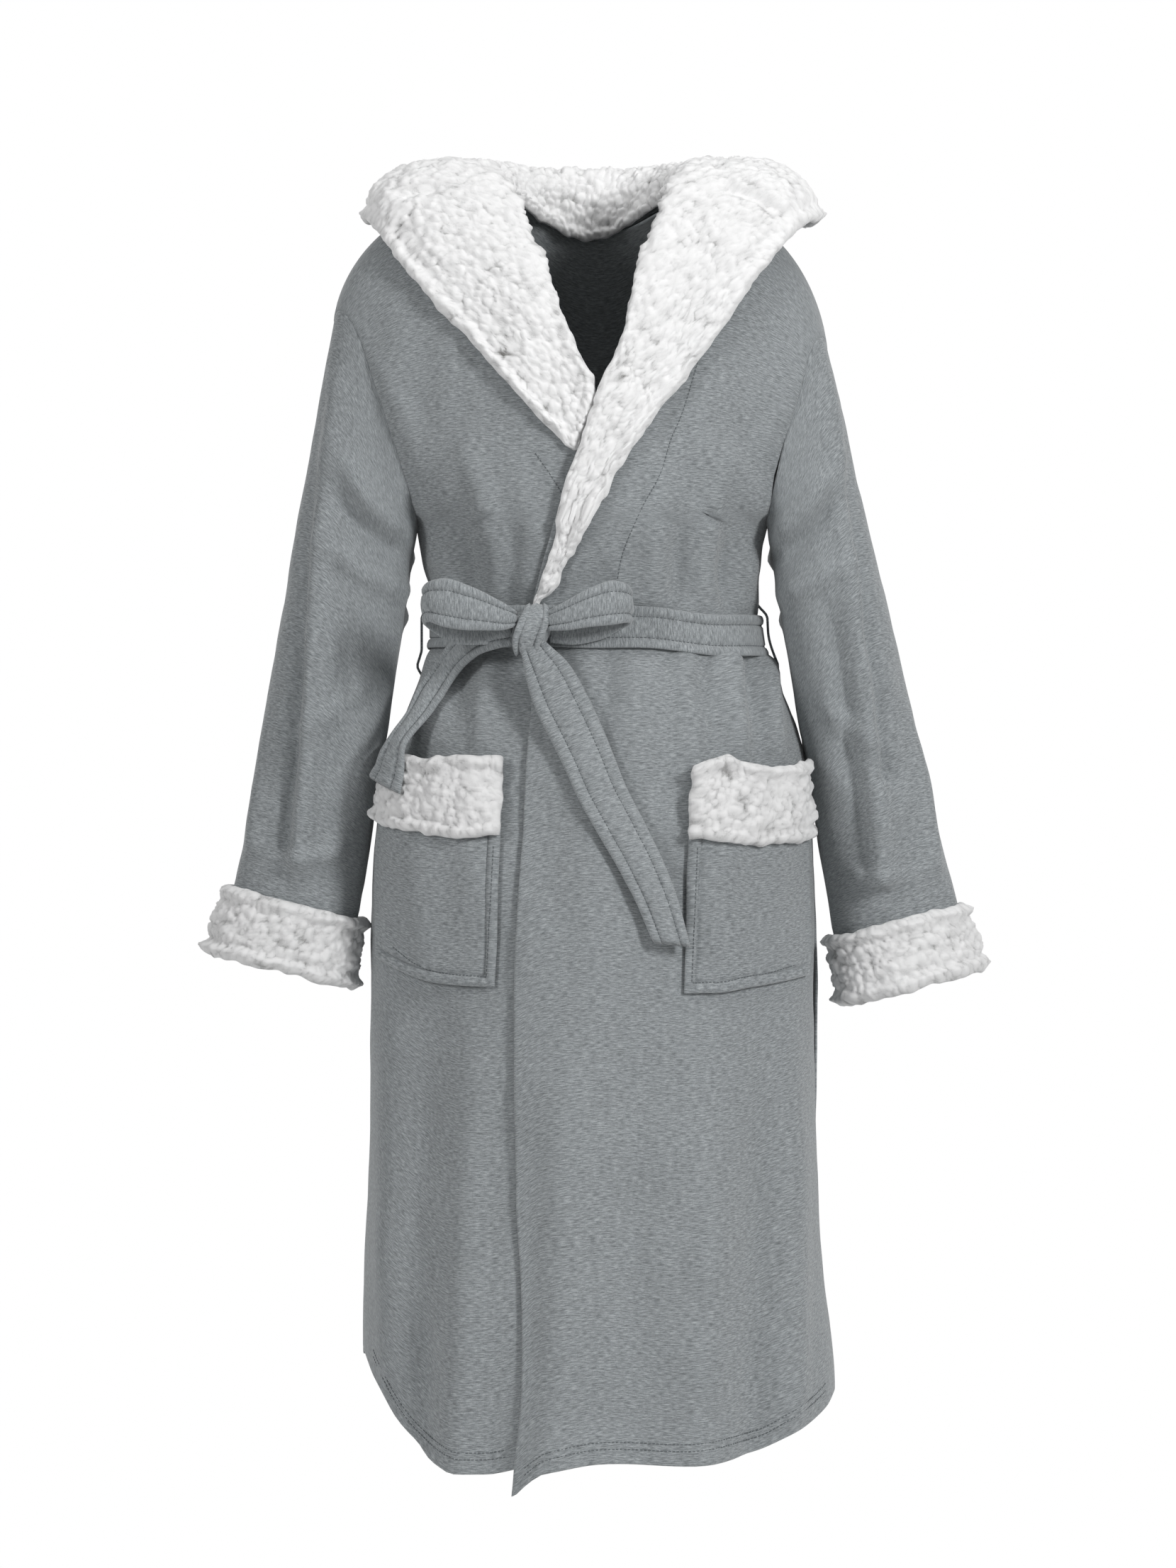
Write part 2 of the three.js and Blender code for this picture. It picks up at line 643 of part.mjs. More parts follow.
// A hanging end of the belt, lying on the skirt with room for what it crosses.
function tail(spec, startX, clear) {
  const surface = (u, v) => {
    const z = lerp(TAIL_START_Z, spec.endZ, v);
    const x = lerp(startX, spec.endX, v) + (u - 0.5) * lerp(TAIL_START_WIDTH, spec.width, Math.min(1, v * 3));
    return bodyBelow(true, x, z);
  };
  return laid(surface, (p) => FABRIC + WRAP_LIFT + clear(p), BELT_THICKNESS, 3, 12);
}
const overPocket = FABRIC + SHERPA + POCKET.gape + 4;
const shortClear = (p) => 3 + overPocket * smooth(-p.z, -TAIL_START_Z + 20, -POCKET.top - 14);
add('belt_tail_short', tail(TAIL_SHORT, KNOT.x - TAIL_START_X, shortClear), KNIT());
const longClear = (p) => 8 + overPocket * smooth(p.x, 20, 55);
add('belt_tail_long', tail(TAIL_LONG, KNOT.x + TAIL_START_X, longClear), KNIT());

// Belt carriers: a narrow strap at each side seam, with the belt running through it.
for (const [name, side] of Object.entries(SIDES)) {
  const strapFace = (extra) => (u, v) => {
    const z = lerp(CARRIER.bottom, CARRIER.top, v);
    const standoff = FABRIC + BELT_CLEAR + BELT_THICKNESS + CARRIER.clear;
    const ends = Math.min(smooth(v, 0, 0.14), 1 - smooth(v, 0.86, 1));
    const lift = lerp(FABRIC + SEAM_GAP, standoff + 3, ends) + extra;
    const width = Math.max(sectionAt(z)[0], sectionAt(CARRIER.top)[0]);
    return V(side.sign * (width + lift), SIDE_Y + (u - 0.5) * CARRIER.width, z);
  };
  add(`${name}_belt_carrier`, sheet(strapFace(2), strapFace(0), 1, 14), KNIT());
}

export default root;
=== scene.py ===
# %% [markdown]
# # A hooded wrap bathrobe
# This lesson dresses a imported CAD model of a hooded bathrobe: grey heather sweatshirt knit
# outside, and curly white sherpa turned out on the lapels, hood, cuffs and pocket tops. The CAD
# model gives every size and every joint. Its cloth pieces are plain closed solids, so each one
# is replaced here by a cloth shape with folds, stitching and pile, in the same place.

# %% Open the frame
import math
import bmesh
import bpy
import numpy as np
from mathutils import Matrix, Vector
from mathutils.bvhtree import BVHTree


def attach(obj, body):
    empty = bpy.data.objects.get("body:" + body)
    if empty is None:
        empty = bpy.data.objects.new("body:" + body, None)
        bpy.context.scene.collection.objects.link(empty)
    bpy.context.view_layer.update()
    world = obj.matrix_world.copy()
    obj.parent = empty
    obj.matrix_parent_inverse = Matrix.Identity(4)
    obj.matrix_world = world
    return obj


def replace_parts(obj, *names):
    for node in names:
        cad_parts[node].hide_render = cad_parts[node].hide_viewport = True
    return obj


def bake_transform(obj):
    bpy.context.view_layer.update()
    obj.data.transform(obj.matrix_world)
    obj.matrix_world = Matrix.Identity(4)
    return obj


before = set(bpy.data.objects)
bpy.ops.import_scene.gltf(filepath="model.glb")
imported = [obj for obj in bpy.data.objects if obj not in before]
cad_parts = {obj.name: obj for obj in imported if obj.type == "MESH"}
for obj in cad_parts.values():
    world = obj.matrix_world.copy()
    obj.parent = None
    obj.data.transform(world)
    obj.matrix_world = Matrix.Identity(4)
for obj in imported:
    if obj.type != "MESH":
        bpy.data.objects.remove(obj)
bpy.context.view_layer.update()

MM = 0.001

# %% [markdown]
# ## Numbers that the whole robe shares
# The robe hangs as it does on a body, so its shape is a stack of rounded sections. The side
# seams lie in one plane, the chest turns into a dome at the shoulders, and the skirt opens
# towards a rounded hem. One smooth curve through a few stations gives each width and depth. The
# same body surface then carries every piece that lies on it, so the layers follow each other.
# Pieces still run into their neighbours: at the seams on purpose, and in other places, such as
# under the belt and round the hood, because each piece has its own lift and thickness.

# %% Body sections
SIDE_Y = -60
UNDERARM = -275
WAIST = -372
LEVELS = [-1160, -1045, -990, -945, -880, -800, -690, -600, -540, -480, -449, -410, -372, -340,
          -312, -275]
WIDTH_RIGHT = [205, 203, 203, 202, 199, 196, 196, 195, 190, 177, 164, 147, 138, 142, 149, 156]
WIDTH_LEFT = [211, 211, 207, 201, 196, 194, 194, 193, 190, 181, 171, 154, 142, 141, 144, 153]
DEPTH_FRONT = [150, 150, 150, 149, 148, 146, 144, 140, 135, 127, 122, 112, 104, 108, 114, 122]
DEPTH_BACK = [140, 140, 140, 139, 138, 136, 134, 132, 126, 118, 112, 102, 96, 98, 102, 108]
SPREAD = 100

def curve(xs, ys, x):
    """A smooth curve through stations, without overshoot, read at the heights x."""
    xs, ys = np.asarray(xs, float), np.asarray(ys, float)
    step = np.diff(xs)
    slope = np.diff(ys) / step
    tangent = np.zeros(len(xs))
    same = slope[1:] * slope[:-1] > 0
    tangent[1:-1][same] = 2 / (1 / slope[1:][same] + 1 / slope[:-1][same])
    tangent[0], tangent[-1] = slope[0], slope[-1]
    x = np.clip(np.asarray(x, float), xs[0], xs[-1])
    k = np.clip(np.searchsorted(xs, x) - 1, 0, len(xs) - 2)
    t = (x - xs[k]) / step[k]
    return ((1 + 2 * t) * (1 - t) ** 2 * ys[k] + t * (1 - t) ** 2 * step[k] * tangent[k]
            + t * t * (3 - 2 * t) * ys[k + 1] + t * t * (t - 1) * step[k] * tangent[k + 1])

def smooth(x, a, b):
    t = np.clip((np.asarray(x, float) - a) / (b - a), 0, 1)
    return t * t * (3 - 2 * t)

def mix(a, b, t):
    return a + (b - a) * t

def half_width(z, side):
    return curve(LEVELS, WIDTH_RIGHT if side < 0 else WIDTH_LEFT, z)

def depth_at(z, front):
    return curve(LEVELS, DEPTH_FRONT if front else DEPTH_BACK, z)

SHOULDERS = {-1: (229, -100, 75, 12), 1: (205, -128, 70, 5)}

def shoulder_z(x):
    """Height of the shoulder line over X."""
    out = np.zeros(np.shape(x))
    for sign, (tip_x, tip_z, neck_x, neck_z) in SHOULDERS.items():
        reach = np.clip((sign * x - neck_x) / (tip_x - neck_x), 0, 1)
        z = tip_z + (neck_z - tip_z) * (1 - reach ** 2.6) ** 0.6
        out = np.where(sign * x >= 60, z, out)
    between = mix(12, 5, smooth(x, -60, 60))
    return np.where(np.abs(x) < 60, between, out)

def armhole_x(share, sign):
    under = half_width(UNDERARM, sign)
    return sign * mix(under, SHOULDERS[sign][0], share)

# Height of each piece's hem over the sine of the angle round the body.
HEMS = {
    "under": ([-1, -0.93, -0.86, -0.77, -0.67, -0.58, -0.47, -0.36, 0, 0.6],
              [-1008, -1038, -1064, -1087, -1103, -1110, -1110, -1106, -1084, -1080]),
    "top": ([-0.4, -0.33, -0.28, -0.2, 0.06, 0.34, 0.66, 0.81, 0.96, 1],
            [-1131, -1127, -1118, -1107, -1099, -1101, -1093, -1078, -1058, -1046]),
    "back": ([-1, -0.9, -0.6, 0, 0.6, 0.9, 1],
             [-1014, -1044, -1078, -1086, -1080, -1058, -1042]),
}

def hem_z(panel, s):
    return curve(*HEMS[panel], s)

def body(panel, x, level):
    """Body surface in mm. Below level 1, x is the sine of the angle round the body and level
    climbs from hem to underarm; above it, x is X and level climbs to the shoulder line."""
    x, level = np.broadcast_arrays(np.asarray(x, float), np.asarray(level, float))
    front = panel != "back"
    facing = -1 if front else 1
    low = level <= 1
    s = np.clip(x, -1, 1)
    z_low = mix(hem_z(panel, s), UNDERARM, np.clip(level, 0, 1))
    width = np.where(s < 0, half_width(z_low, -1), half_width(z_low, 1))
    x_low = width * s
    y_low = SIDE_Y + facing * depth_at(z_low, front) * np.sqrt(1 - s * s)
    climb = np.radians(90) * np.clip(level - 1, 0, 1)
    share = np.sin(climb)
    z_high = UNDERARM + (shoulder_z(x) - UNDERARM) * share
    reach = half_width(UNDERARM, -1) + SPREAD * share ** 0.6
    slope = np.cos(climb) ** (1 if front else 0.65)
    y_high = SIDE_Y + facing * depth_at(UNDERARM, front) * slope * np.sqrt(
        np.clip(1 - (x / reach) ** 2, 0, 1))
    return np.stack([np.where(low, x_low, x), np.where(low, y_low, y_high),
                     np.where(low, z_low, z_high)], -1)

def skirt(front, x, z):
    """The same surface below the underarm, from X and height."""
    x, z = np.broadcast_arrays(np.asarray(x, float), np.asarray(z, float))
    width = np.where(x < 0, half_width(z, -1), half_width(z, 1))
    s = np.clip(x / width, -1, 1)
    y = SIDE_Y + (-1 if front else 1) * depth_at(z, front) * np.sqrt(1 - s * s)
    return np.stack([width * s, y, z], -1)

print("widths at the waist:", [round(float(half_width(WAIST, side))) for side in (-1, 1)])

# %% [markdown]
# ## Camera, backdrop and light
# The robe is looked at straight on from chest height with a long lens, which keeps the hem and
# the shoulders in proportion. A pale round floor lies under it, and everything beyond the floor
# is white to the camera, so the robe stands clear from every side. The light is soft: a large
# lamp in front at the viewer's right, weaker ones at the left and behind, and a dim white
# surround.

# %% Camera
camera_data = bpy.data.cameras.new("camera")
camera = bpy.data.objects.new("camera", camera_data)
bpy.context.collection.objects.link(camera)
DISTANCE = 7.0
FRAME_HEIGHT = 1.3936
camera_data.sensor_fit = "VERTICAL"
camera_data.sensor_height = 36
camera_data.sensor_width = 36
camera_data.lens = 36 * DISTANCE / FRAME_HEIGHT
camera.location = (-0.0054, -DISTANCE + SIDE_Y * MM, -0.5078)
camera.rotation_euler = (math.radians(90), 0, 0)
camera_data.clip_end = 60
bpy.context.scene.camera = camera
bpy.context.scene.view_settings.view_transform = "Standard"
print("lens", round(camera_data.lens), "mm")

# %% Floor
def make_floor():
    bm = bmesh.new()
    bmesh.ops.create_circle(bm, cap_ends=True, segments=96, radius=1.8)
    mesh = bpy.data.meshes.new("floor")
    bm.to_mesh(mesh)
    bm.free()
    floor = bpy.data.objects.new("floor", mesh)
    bpy.context.collection.objects.link(floor)
    floor.location = (0, 0, -1.42)
    material = bpy.data.materials.new("floor_paper")
    material.use_nodes = True
    shader = material.node_tree.nodes["Principled BSDF"]
    shader.inputs["Base Color"].default_value = (0.86, 0.86, 0.86, 1)
    shader.inputs["Roughness"].default_value = 0.9
    mesh.materials.append(material)

make_floor()

# %% Lights
def area_light(name, location, target, size, power):
    data = bpy.data.lights.new(name, "AREA")
    data.shape = "RECTANGLE"
    data.size, data.size_y = size
    data.energy = power
    light = bpy.data.objects.new(name, data)
    bpy.context.collection.objects.link(light)
    light.location = location
    light.rotation_euler = (Vector(target) - Vector(location)).to_track_quat("-Z", "Y").to_euler()
    return light

area_light("key", (2.5, -3.0, 1.0), (0, 0, -0.5), (0.7, 1.1), 98)
area_light("fill", (-2.6, -2.6, 0.9), (0, 0, -0.6), (0.8, 1.4), 44)
area_light("top", (0.5, -0.6, 2.4), (0, 0, -0.4), (1.4, 1.0), 18)
area_light("back_left", (-1.9, 3.4, 1.3), (0, 0, -0.5), (1.0, 1.4), 46)
area_light("back_right", (2.0, 3.6, 0.8), (0, 0, -0.6), (1.0, 1.4), 30)
world = bpy.data.worlds.new("studio")
world.use_nodes = True
sky = world.node_tree
lit = sky.nodes["Background"]
lit.inputs["Color"].default_value = (1, 1, 1, 1)
lit.inputs["Strength"].default_value = 0.25
seen = sky.nodes.new("ShaderNodeBackground")
seen.inputs["Color"].default_value = (1, 1, 1, 1)
chosen = sky.nodes.new("ShaderNodeMixShader")
sky.links.new(sky.nodes.new("ShaderNodeLightPath").outputs["Is Camera Ray"], chosen.inputs["Fac"])
sky.links.new(lit.outputs["Background"], chosen.inputs[1])
sky.links.new(seen.outputs["Background"], chosen.inputs[2])
sky.links.new(chosen.outputs["Shader"], sky.nodes["World Output"].inputs["Surface"])
bpy.context.scene.world = world

# %% [markdown]
# ## The knit
# Sweatshirt knit is spun from light and dark fibres, so close up it is grey with short level
# streaks of paler and darker yarn. The streaks are noise stretched along the rows of the knit,
# and they are read from each piece's own UV map, in metres, so that they follow the cloth round
# a sleeve. A second, finer noise is the brushed fuzz, and it also roughens the surface.

# %% Knit finish
def node(tree, kind, **values):
    made = tree.nodes.new(kind)
    for key, value in values.items():
        if key in made.inputs:
            made.inputs[key].default_value = value
        else:
            setattr(made, key, value)
    return made

def ramp(tree, source, stops):
    made = tree.nodes.new("ShaderNodeValToRGB")
    while len(made.color_ramp.elements) < len(stops):
        made.color_ramp.elements.new(0.5)
    for element, (position, color) in zip(made.color_ramp.elements, stops):
        element.position = position
        element.color = (*color, 1)
    tree.links.new(source, made.inputs["Fac"])
    return made

def grey(level, blue=0.0):
    """A grey of that brightness as the eye sees it (0 to 255), slightly blue."""
    def linear(c):
        c = c / 255
        return c / 12.92 if c < 0.04045 else ((c + 0.055) / 1.055) ** 2.4
    return (linear(level - 5 * blue), linear(level), linear(level + 2.5 * blue))

def make_knit(name, level, streak=(0.0058, 0.001), turned=False):
    """Heather knit. streak is one streak's length and height in metres."""
    material = bpy.data.materials.new(name)
    material.use_nodes = True
    tree = material.node_tree
    shader = tree.nodes["Principled BSDF"]
    place = node(tree, "ShaderNodeUVMap", uv_map="UVMap")
    along, high = (1 / streak[0], 1 / streak[1])
    scale = (high, along, 1) if turned else (along, high, 1)
    stretch = node(tree, "ShaderNodeMapping", Scale=scale)
    tree.links.new(place.outputs["UV"], stretch.inputs["Vector"])
    streaks = node(tree, "ShaderNodeTexNoise", Scale=1.0, Detail=2.5, Roughness=0.62)
    tree.links.new(stretch.outputs["Vector"], streaks.inputs["Vector"])
    yarn = ramp(tree, streaks.outputs["Fac"], [
        (0.22, grey(level - 48, 1)), (0.43, grey(level - 13, 1)),
        (0.57, grey(level + 11, 1)), (0.78, grey(level + 40, 1))])
    fine = node(tree, "ShaderNodeTexNoise", Scale=1100.0, Detail=2.0, Roughness=0.6)
    tree.links.new(place.outputs["UV"], fine.inputs["Vector"])
    speck = ramp(tree, fine.outputs["Fac"], [(0.3, grey(214)), (0.5, grey(246)), (0.72, grey(255))])
    longer = node(tree, "ShaderNodeMapping", Scale=tuple(c * 0.36 for c in scale))
    tree.links.new(place.outputs["UV"], longer.inputs["Vector"])
    broad = node(tree, "ShaderNodeTexNoise", Scale=1.0, Detail=3.0, Roughness=0.6)
    tree.links.new(longer.outputs["Vector"], broad.inputs["Vector"])
    cloudy = ramp(tree, broad.outputs["Fac"],
                  [(0.28, grey(226)), (0.5, grey(246)), (0.7, grey(255))])
    mixed = node(tree, "ShaderNodeMix", data_type="RGBA", blend_type="MULTIPLY")
    mixed.inputs["Factor"].default_value = 0.8
    tree.links.new(yarn.outputs["Color"], mixed.inputs["A"])
    tree.links.new(speck.outputs["Color"], mixed.inputs["B"])
    clouded = node(tree, "ShaderNodeMix", data_type="RGBA", blend_type="MULTIPLY")
    clouded.inputs["Factor"].default_value = 1.0
    tree.links.new(mixed.outputs["Result"], clouded.inputs["A"])
    tree.links.new(cloudy.outputs["Color"], clouded.inputs["B"])
    tree.links.new(clouded.outputs["Result"], shader.inputs["Base Color"])
    rough = node(tree, "ShaderNodeMapRange")
    rough.inputs["To Min"].default_value = 0.82
    rough.inputs["To Max"].default_value = 1.0
    tree.links.new(fine.outputs["Fac"], rough.inputs["Value"])
    tree.links.new(rough.outputs["Result"], shader.inputs["Roughness"])
    shader.inputs["Specular IOR Level"].default_value = 0.18
    shader.inputs["Sheen Weight"].default_value = 0.25
    shader.inputs["Sheen Roughness"].default_value = 0.6
    bump = node(tree, "ShaderNodeBump", Strength=0.28, Distance=0.0004)
    height = node(tree, "ShaderNodeMath", operation="ADD")
    tree.links.new(streaks.outputs["Fac"], height.inputs[0])
    tree.links.new(fine.outputs["Fac"], height.inputs[1])
    tree.links.new(height.outputs["Value"], bump.inputs["Height"])
    tree.links.new(bump.outputs["Normal"], shader.inputs["Normal"])
    return material

KNIT = make_knit("heather_knit", 154)
KNIT_BELT = make_knit("heather_knit_belt", 158, turned=True)
print("knit finishes:", KNIT.name, KNIT_BELT.name)

# %% [markdown]
# ## The sherpa
# Sherpa is a pile of tight curls on a knitted back. Its look comes from its shape: small round
# tufts, about 7 mm across, packed against each other with dark creases between. So the tufts are
# real bumps in the mesh, and each vertex keeps its height as an attribute. The finish reads that
# height and paints shade into the creases: warm grey down in them, clean white on the tops, with a
# fine fibre bump over all. The cuffs and pocket bands use a slightly darker copy of the finish.

# %% Sherpa finish
# top is the white of the tuft tops; deep is the grey of the shade painted into the creases.
def make_sherpa(name, top, deep):
    material = bpy.data.materials.new(name)
    material.use_nodes = True
    tree = material.node_tree
    shader = tree.nodes["Principled BSDF"]
    curl = node(tree, "ShaderNodeAttribute", attribute_name="curl")
    place = node(tree, "ShaderNodeUVMap", uv_map="UVMap")
    fibres = node(tree, "ShaderNodeTexNoise", Scale=900.0, Detail=4.0, Roughness=0.7)
    tree.links.new(place.outputs["UV"], fibres.inputs["Vector"])
    shifted = node(tree, "ShaderNodeMath", operation="MULTIPLY_ADD")
    shifted.inputs[1].default_value = 0.5
    tree.links.new(fibres.outputs["Fac"], shifted.inputs[0])
    tree.links.new(curl.outputs["Fac"], shifted.inputs[2])
    # Painted shade: the colour runs from white on the tuft tops to warm grey down in the creases,
    # where shadow falls.
    crease_shade = (grey(deep)[0] * 1.03, grey(deep)[1], grey(deep)[2] * 0.95)
    tone = ramp(tree, shifted.outputs["Value"], [
        (0.24, crease_shade), (0.46, grey(top - 44)), (0.68, grey(top - 12)), (1.0, grey(top))])
    tree.links.new(tone.outputs["Color"], shader.inputs["Base Color"])
    rough = node(tree, "ShaderNodeMapRange")
    rough.inputs["To Min"].default_value = 0.85
    rough.inputs["To Max"].default_value = 1.0
    tree.links.new(fibres.outputs["Fac"], rough.inputs["Value"])
    tree.links.new(rough.outputs["Result"], shader.inputs["Roughness"])
    shader.inputs["Specular IOR Level"].default_value = 0.1
    shader.inputs["Sheen Weight"].default_value = 0.1
    shader.inputs["Sheen Roughness"].default_value = 0.7
    bump = node(tree, "ShaderNodeBump", Strength=0.5, Distance=0.0008)
    tree.links.new(fibres.outputs["Fac"], bump.inputs["Height"])
    tree.links.new(bump.outputs["Normal"], shader.inputs["Normal"])
    return material

SHERPA = make_sherpa("white_sherpa", 240, 112)
# A slightly darker copy of the same finish, for the cuffs and pocket bands.
SHERPA_DARKER = make_sherpa("white_sherpa_darker", 226, 104)
print("sherpa finishes:", SHERPA.name, SHERPA_DARKER.name)

# %% [markdown]
# ## From a surface to a piece of cloth
# Every piece starts as two of Blender's grids, one for each face of the cloth. Their points are
# moved onto the body surface, a little apart. Near the edges the two faces draw together, as a
# folded or stitched edge does, and where they meet they are merged, so the piece is one closed
# body. Extra rows of points close to each edge make that edge round.

# %% Cloth helpers
def stations(length, spacing, rim):
    """Shares from 0 to 1 along one side of a piece, with close rows for the rounded edges."""
    inner = np.linspace(rim, length - rim, max(3, int(round((length - 2 * rim) / spacing)) + 1))
    return np.concatenate([[0, 0.12 * rim, 0.45 * rim], inner,
                           [length - 0.45 * rim, length - 0.12 * rim, length]]) / length

def normals(points, outward, wrapped=False):
    """Unit normals of a grid of points; outward is a rough outward direction for each point."""
    if wrapped:
        across = np.roll(points[:, :-1], -1, axis=1) - np.roll(points[:, :-1], 1, axis=1)
        across = np.concatenate([across, across[:, :1]], axis=1)
    else:
        across = np.gradient(points, axis=1)
    along = np.gradient(points, axis=0)
    n = np.cross(across, along)
    n /= np.maximum(np.linalg.norm(n, axis=-1, keepdims=True), 1e-9)
    return n * np.sign((n * outward).sum(-1, keepdims=True) + 1e-12)

def outward_of(points, axis_x=-4.0):
    """Away from the body's axis, and up on the shoulders."""
    out = np.array(points)
    out[..., 0] -= axis_x
    out[..., 1] -= SIDE_Y
    out[..., 2] = np.where(points[..., 2] > UNDERARM, 60, 0)
    return out

def piece(name, outer, inner, uv, material, curl=None):
    """A closed piece from the points of its two faces, in mm, rows by columns."""
    rows, columns = outer.shape[:2]
    bm = bmesh.new()
    for _ in range(2):
        bmesh.ops.create_grid(bm, x_segments=columns - 1, y_segments=rows - 1, size=0.5)
    mesh = bpy.data.meshes.new(name)
    bm.to_mesh(mesh)
    count = rows * columns
    flat = np.empty(len(mesh.vertices) * 3)
    mesh.vertices.foreach_get("co", flat)
    flat = flat.reshape(-1, 3)
    i = np.round((flat[:, 0] + 0.5) * (columns - 1)).astype(int)
    j = np.round((flat[:, 1] + 0.5) * (rows - 1)).astype(int)
    second = np.arange(len(flat)) >= count
    placed = np.where(second[:, None], inner[j, i], outer[j, i]) * MM
    mesh.vertices.foreach_set("co", placed.ravel())
    layer = mesh.uv_layers.new(name="UVMap")
    corner = np.empty(len(mesh.loops), int)
    mesh.loops.foreach_get("vertex_index", corner)
    layer.data.foreach_set("uv", uv[j[corner], i[corner]].ravel())
    if curl is not None:
        attribute = mesh.attributes.new("curl", "FLOAT", "POINT")
        attribute.data.foreach_set("value", np.where(second, 0.5, curl[j, i]))
    bm.clear()
    bm.from_mesh(mesh)
    bmesh.ops.remove_doubles(bm, verts=bm.verts, dist=2e-6)
    bmesh.ops.dissolve_degenerate(bm, dist=1e-7, edges=bm.edges)
    bmesh.ops.recalc_face_normals(bm, faces=bm.faces)
    open_edges = sum(1 for e in bm.edges if not e.is_manifold)
    bm.to_mesh(mesh)
    bm.free()
    mesh.shade_smooth()
    mesh.materials.append(material)
    made = bpy.data.objects.new(name, mesh)
    bpy.context.collection.objects.link(made)
    print(f"{name}: {len(mesh.polygons)} faces, {open_edges} open edges")
    return made

def layer_of(mid, normal, lift, thick, edge):
    """The two faces of cloth of that thickness, lifted off a surface."""
    half = thick / 2
    lift = np.asarray(lift, float)[..., None] if np.ndim(lift) else lift
    half = np.asarray(half, float)[..., None] if np.ndim(half) else half
    middle = mid + normal * (lift + half)
    return middle + normal * half * edge[..., None], middle - normal * half * edge[..., None]

# %% [markdown]
# ## Tufts
# The pile's tufts are found by dropping one random point in each small cell of space and asking,
# for each point of the mesh, how far the nearest one is. Near it the pile is high, and halfway
# between two of them it is low. The cells fill space itself, so two pieces that meet at a seam
# agree there. The random numbers come from the cell's own place, so they never change.

# %% Tufts
def cell_random(cells, salt):
    h = (cells[..., 0] * 73856093) ^ (cells[..., 1] * 19349663) ^ (cells[..., 2] * 83492791)
    h = (h ^ (salt * 374761393)) & 0x7FFFFFFF
    h = ((h ^ (h >> 13)) * 1274126177) & 0x7FFFFFFF
    h = ((h ^ (h >> 16)) * 668265263) & 0x7FFFFFFF
    return ((h ^ (h >> 15)) & 0xFFFFFF) / float(0x1000000)

def nearest(points, size, salt):
    """Distance to the nearest and second nearest tuft, in tuft sizes."""
    p = points / size
    base = np.floor(p).astype(np.int64)
    first = np.full(p.shape[:-1], 9.0)
    second = np.full(p.shape[:-1], 9.0)
    for dx in (-1, 0, 1):
        for dy in (-1, 0, 1):
            for dz in (-1, 0, 1):
                cell = base + np.array([dx, dy, dz])
                spot = cell + np.stack([cell_random(cell, salt + k) for k in range(3)], -1)
                d = np.linalg.norm(p - spot, axis=-1)
                second = np.minimum(second, np.maximum(first, d))
                first = np.minimum(first, d)
    return first, second

def wobble(points, size, salt):
    """A smooth random value from -1 to 1 that changes over about that size."""
    p = points / size
    base = np.floor(p).astype(np.int64)
    f = p - base
    f = f * f * (3 - 2 * f)
    total = np.zeros(p.shape[:-1])
    for dx in (0, 1):
        for dy in (0, 1):
            for dz in (0, 1):
                w = (np.where(dx, f[..., 0], 1 - f[..., 0]) * np.where(dy, f[..., 1], 1 - f[..., 1])
                     * np.where(dz, f[..., 2], 1 - f[..., 2]))
                total += w * cell_random(base + np.array([dx, dy, dz]), salt)
    return total * 2 - 1

def tufts(points, size=7.5):
    """Height of the pile, from 0 in a crease to 1 on a tuft."""
    bent = points + np.stack([wobble(points, 9, 11 + k) for k in range(3)], -1) * 2.4
    first, second = nearest(bent, size, 5)
    big = np.clip(1 - (first / 0.9) ** 2, 0, 1) ** 0.55
    big *= smooth(second - first, 0.0, 0.3) * 0.62 + 0.38
    first, second = nearest(bent + 40, size * 0.5, 9)
    small = np.clip(1 - (first / 0.9) ** 2, 0, 1) ** 0.7
    patchy = 0.12 * wobble(points, 16, 15)
    return np.clip(0.74 * big + 0.26 * small + patchy, 0, 1)

print("tuft heights:", np.round(tufts(np.array([[0.0, 0, 0], [3, 1, 2], [9, 4, 4]])), 2))

# %% [markdown]
# ## Folds
# Soft heavy knit hangs in a few wide vertical folds. Where the belt draws it in, small pleats
# fan out above and below, and shallow creases cross the chest. All layers on the body share one
# fold field, read at each point's X and height, so a pocket rises and falls with the front under
# it and layers stay in step. A crease is a ridge along a line of points; it fades at its ends.

